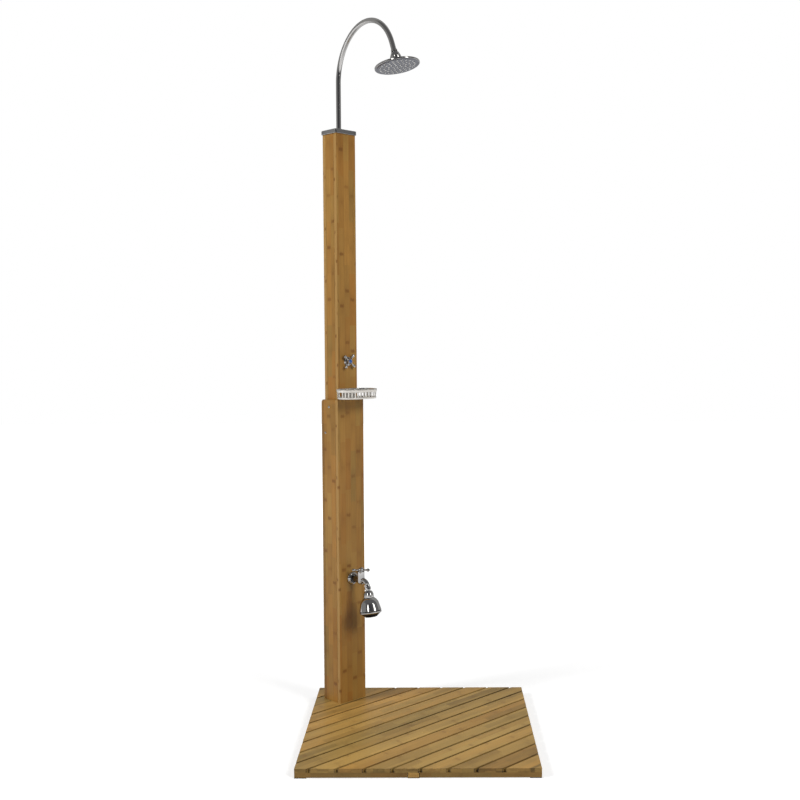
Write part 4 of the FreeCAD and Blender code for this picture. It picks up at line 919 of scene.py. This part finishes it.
# ---------------- soap basket
class SHOWER_OT_soap_basket(bpy.types.Operator):
    """Open basket: top band, upright bars, base ring, slatted floor and back plate"""
    bl_idname = "shower.soap_basket"
    bl_label = "Soap basket"

    def execute(self, context):
        base, taper, wall, floor = LOWER_TOP + 4.3, 3.0, 3.0, 3.0
        top, band, ring = base + 32.5, 10.5, 6.5
        half_x, half_y, corner = 72.0, 45.0, 42.0
        straight_x, straight_y = half_x - corner, half_y - corner
        place = post_place @ shift(0, UPPER_FRONT - half_y, 0)

        def drawn_in(inset, z):
            return inset + taper * (top - z) / (top - base)

        def hoop(section):
            """Ring whose section's points are (inset, height), each carried round the oval."""
            section = outline(section, 5)
            insets = [drawn_in(inset, z) for inset, z in section]
            plans = [oblong(half_x - i, half_y - i, corner - i, 20) for i in insets]
            return lofted(plans, section[:, 1], place)

        shells = [
            hoop([(0, top - band, 0.8), (0, top, 0.9), (wall, top, 0.9), (wall, top - band, 0.8)]),
            hoop([(0, base, 0.8), (0, base + ring, 0.8), (wall, base + ring, 0.8),
                  (wall, base, 0.8)]),
            hoop([(1.0, base, 0.3), (1.0, base + floor, 0.3), (11.0, base + floor, 0.8),
                  (11.0, base, 0.8)])]

        pitch = context.scene.shower_sizes.bar_pitch / MM
        along_front = np.linspace(-straight_x, straight_x, round(2 * straight_x / pitch) + 1)
        round_end = np.radians(np.linspace(-90, 90, round(math.pi * corner / pitch) + 1)[1:-1])
        cos, sin = np.cos(round_end), np.sin(round_end)

        def both_ends(front, end, z):
            """Rows of the front, of the right end and of the left end, all at one height."""
            rows = np.concatenate([front, end, end * [-1, 1]])
            return np.concatenate([rows, np.full((len(rows), 1), z)], 1)

        def stations(z):
            """Middles of the bars at a height: evenly along the front and round both ends."""
            inset = drawn_in(2.1, z)
            end = np.stack([straight_x + (corner - inset) * cos,
                            straight_y * np.sign(sin) + (corner - inset) * sin], 1)
            front = np.stack([along_front, 0 * along_front - half_y + inset], 1)
            return both_ends(front, end, z)

        level = np.tile([1.0, 0.0], (len(along_front), 1))
        across = both_ends(level, np.stack([-sin, cos], 1), 0.0)
        posts = bars(stations(base + floor), stations(top - 5.0), across, 2.0, 0.9, 0.5)
        # Floor slats: their middles across the basket and half their width.
        rows = [posts]
        for x, half_width in (((np.arange(6) - 2.5) * 14.4, 4.2), (np.array([-52.4, 52.4]), 6.2)):
            past = np.clip(np.abs(x) - straight_x, 0, None)
            reach = straight_y + np.sqrt(29.0 ** 2 - past ** 2)
            height = 0 * x + base + floor / 2
            rows.append(bars(np.stack([x, -reach, height], 1), np.stack([x, reach, height], 1),
                             np.tile([1.0, 0, 0], (len(x), 1)), half_width, floor / 2, 0.45))
        shells += [(placed(bar * MM, place), False) for row in rows for bar in row]

        plate = outline([(-30, 39.0, 0.8), (30, 39.0, 0.8), (30, half_y), (-30, half_y)], 5)
        middle = 0 * plate + [0, 43]
        backs = [middle, plate * 0.999, plate, plate, middle]
        shells.append((lofted(backs, [base, base, base + 0.2, top, top], place)[0], False))
        make_piece("basket", shells, "soap_basket", look="basket_plating")
        return {"FINISHED"}


# ---------------- stage
class SHOWER_OT_stage(bpy.types.Operator):
    """Pale floor, soft studio light and the camera"""
    bl_idname = "shower.stage"
    bl_label = "Stage"

    def execute(self, context):
        scene = context.scene
        mesh = bpy.data.meshes.new("floor")
        size = 12.0
        corners = [(-size, -size, 0), (size, -size, 0), (size, size, 0), (-size, size, 0)]
        mesh.from_pydata(corners, [], [(0, 1, 2, 3)])
        floor = show("floor", mesh)
        paint, tree, shader, own = new_finish("floor_paint")
        path = node(tree, "LightPath").outputs
        away = node(tree, "VectorMath", {0: own}, operation="LENGTH").outputs["Value"]
        to_eye = span(tree, away, 1.2, 4.0, 0.55, 1.0)
        to_chrome = span(tree, away, 0.8, 3.5, 0.0, 0.45)
        mirrored = calc(tree, "MAXIMUM", path["Is Glossy Ray"], path["Is Transmission Ray"])
        mirrored = times(tree, mirrored, to_chrome)
        glow = times(tree, path["Is Camera Ray"], to_eye, mirrored)
        settle(tree, shader, {
            "Base Color": (0.5, 0.5, 0.5, 1), "Roughness": 0.9, "Specular IOR Level": 0.1,
            "Emission Color": (1, 1, 1, 1), "Emission Strength": glow})
        mesh.materials.append(paint)

        world = bpy.data.worlds.new("studio")
        scene.world = world
        world.use_nodes = True
        tree = world.node_tree
        out = tree.nodes["World Output"]
        tree.nodes.remove(tree.nodes["Background"])
        way = node(tree, "TexCoord").outputs["Generated"]
        y = node(tree, "SeparateXYZ", {0: way}).outputs[1]

        # What the chrome mirrors: a dim wall in front, a brighter one behind, and soft boxes.
        # A box is one inside a cone round its direction and fades out at the cone's edge; its
        # row gives the direction, the cosines of the edge and of the full cone, and the light.
        behind = times(tree, span(tree, y, -0.02, 0.35), 0.40)
        wall = calc(tree, "MAXIMUM", span(tree, y, -0.95, -0.55, 0.07, 0.16), behind)
        for direction, edge, full, bright in (
                ((-0.93, -0.25, 0.15), 0.80, 0.93, 0.32), ((0.93, -0.35, 0.20), 0.86, 0.95, 0.20),
                ((-0.36, -0.85, 0.375), 0.994, 0.9975, 5.0),
                ((0.745, -0.53, 0.41), 0.990, 0.9945, 5.0),
                ((0.593, -0.534, 0.602), 0.9935, 0.9965, 3.2)):
            near = node(tree, "VectorMath", {0: way, 1: Vector(direction).normalized()},
                        operation="DOT_PRODUCT").outputs["Value"]
            box = times(tree, span(tree, near, edge, full), bright)
            wall = calc(tree, "MAXIMUM", wall, box)
        blue = times(tree, wall, 0.96, 0.01)
        room = node(tree, "CombineColor", {0: wall, 1: wall, 2: blue}).outputs[0]
        fill, mirror, white = (
            node(tree, "Background", {"Color": colour, "Strength": strength}).outputs[0]
            for colour, strength in (((1, 1, 1, 1), 0.22), (room, 1.0), ((1, 1, 1, 1), 1.0)))
        path = node(tree, "LightPath").outputs
        seen = calc(tree, "MAXIMUM", path["Is Camera Ray"], path["Is Transmission Ray"])
        soft = node(tree, "MixShader", {0: path["Is Glossy Ray"], 1: fill, 2: mirror}).outputs[0]
        both = node(tree, "MixShader", {0: seen, 1: soft, 2: white}).outputs[0]
        tree.links.new(both, out.inputs["Surface"])

        # Lamps: name, azimuth and elevation in degrees, size in metres and power in watts.
        middle, distance = Vector((-0.2, 0.2, 1.0)), 9.0
        for name, azimuth, elevation, size, power in (
                ("left_lamp", -155.0, 30.0, 2.0, 690.0), ("right_lamp", -42.0, 31.0, 3.2, 520.0),
                ("back_lamp", 45.0, 20.0, 3.0, 280.0)):
            light = bpy.data.lights.new(name, "AREA")
            light.size = size
            light.energy = power
            lamp = show(name, light)
            level, rise = math.radians(azimuth), math.radians(elevation)
            way = Vector((math.cos(level) * math.cos(rise), math.sin(level) * math.cos(rise),
                          math.sin(rise)))
            lamp.location = middle + distance * way
            lamp.rotation_euler = (-way).to_track_quat("-Z", "Y").to_euler()
            lamp.visible_camera = False
            lamp.visible_glossy = False

        # The camera: its turns in radians, its lens in pixels of the picture, and its place.
        pitch, yaw, roll = 0.0529, -0.0049, 0.0047
        focal, centre_x, centre_y, width = 1072.747, 426.329, 393.122, 800.0
        eye = (0.043005, -3.316381, 1.245675)
        ahead = Vector((math.sin(yaw) * math.cos(pitch), math.cos(yaw) * math.cos(pitch),
                        -math.sin(pitch)))
        right = Vector((math.cos(yaw), -math.sin(yaw), 0))
        down = ahead.cross(right)
        across = right * math.cos(roll) + down * math.sin(roll)
        up = right * math.sin(roll) - down * math.cos(roll)
        lens = bpy.data.cameras.new("camera")
        lens.sensor_width = 36.0
        lens.lens = focal / width * lens.sensor_width
        lens.shift_x = (width / 2 - centre_x) / width
        lens.shift_y = (centre_y - width / 2) / width
        camera = show("camera", lens)
        turns = Matrix((across, up, -ahead)).transposed().to_4x4()
        camera.matrix_world = Matrix.Translation(eye) @ turns
        scene.camera = camera
        scene.view_settings.view_transform = "Standard"
        return {"FINISHED"}


OPERATORS = (SHOWER_OT_deck, SHOWER_OT_post, SHOWER_OT_screws, SHOWER_OT_cap_and_neck,
             SHOWER_OT_rain_head, SHOWER_OT_upper_valve, SHOWER_OT_water_way, SHOWER_OT_foot_tap,
             SHOWER_OT_foot_spray, SHOWER_OT_soap_basket, SHOWER_OT_stage)


class SHOWER_PT_sidebar(bpy.types.Panel):
    bl_idname = "SHOWER_PT_sidebar"
    bl_label = "Outdoor shower"
    bl_space_type = "VIEW_3D"
    bl_region_type = "UI"
    bl_category = "Shower"

    def draw(self, context):
        for group in (context.scene.shower_sizes, context.scene.shower_finishes):
            for key in group.__annotations__:
                self.layout.prop(group, key)
        for operator in OPERATORS:
            self.layout.operator(operator.bl_idname)


CLASSES = (ShowerSizes, ShowerFinishes) + OPERATORS + (SHOWER_PT_sidebar,)


def register():
    for made in CLASSES:
        bpy.utils.register_class(made)
    bpy.types.Scene.shower_sizes = PointerProperty(type=ShowerSizes)
    bpy.types.Scene.shower_finishes = PointerProperty(type=ShowerFinishes)


def unregister():
    del bpy.types.Scene.shower_finishes
    del bpy.types.Scene.shower_sizes
    for made in reversed(CLASSES):
        bpy.utils.unregister_class(made)


def main():
    register()
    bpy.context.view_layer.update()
    for operator in OPERATORS:
        group, name = operator.bl_idname.split(".")
        getattr(getattr(bpy.ops, group), name)()


if __name__ == "__main__":
    main()
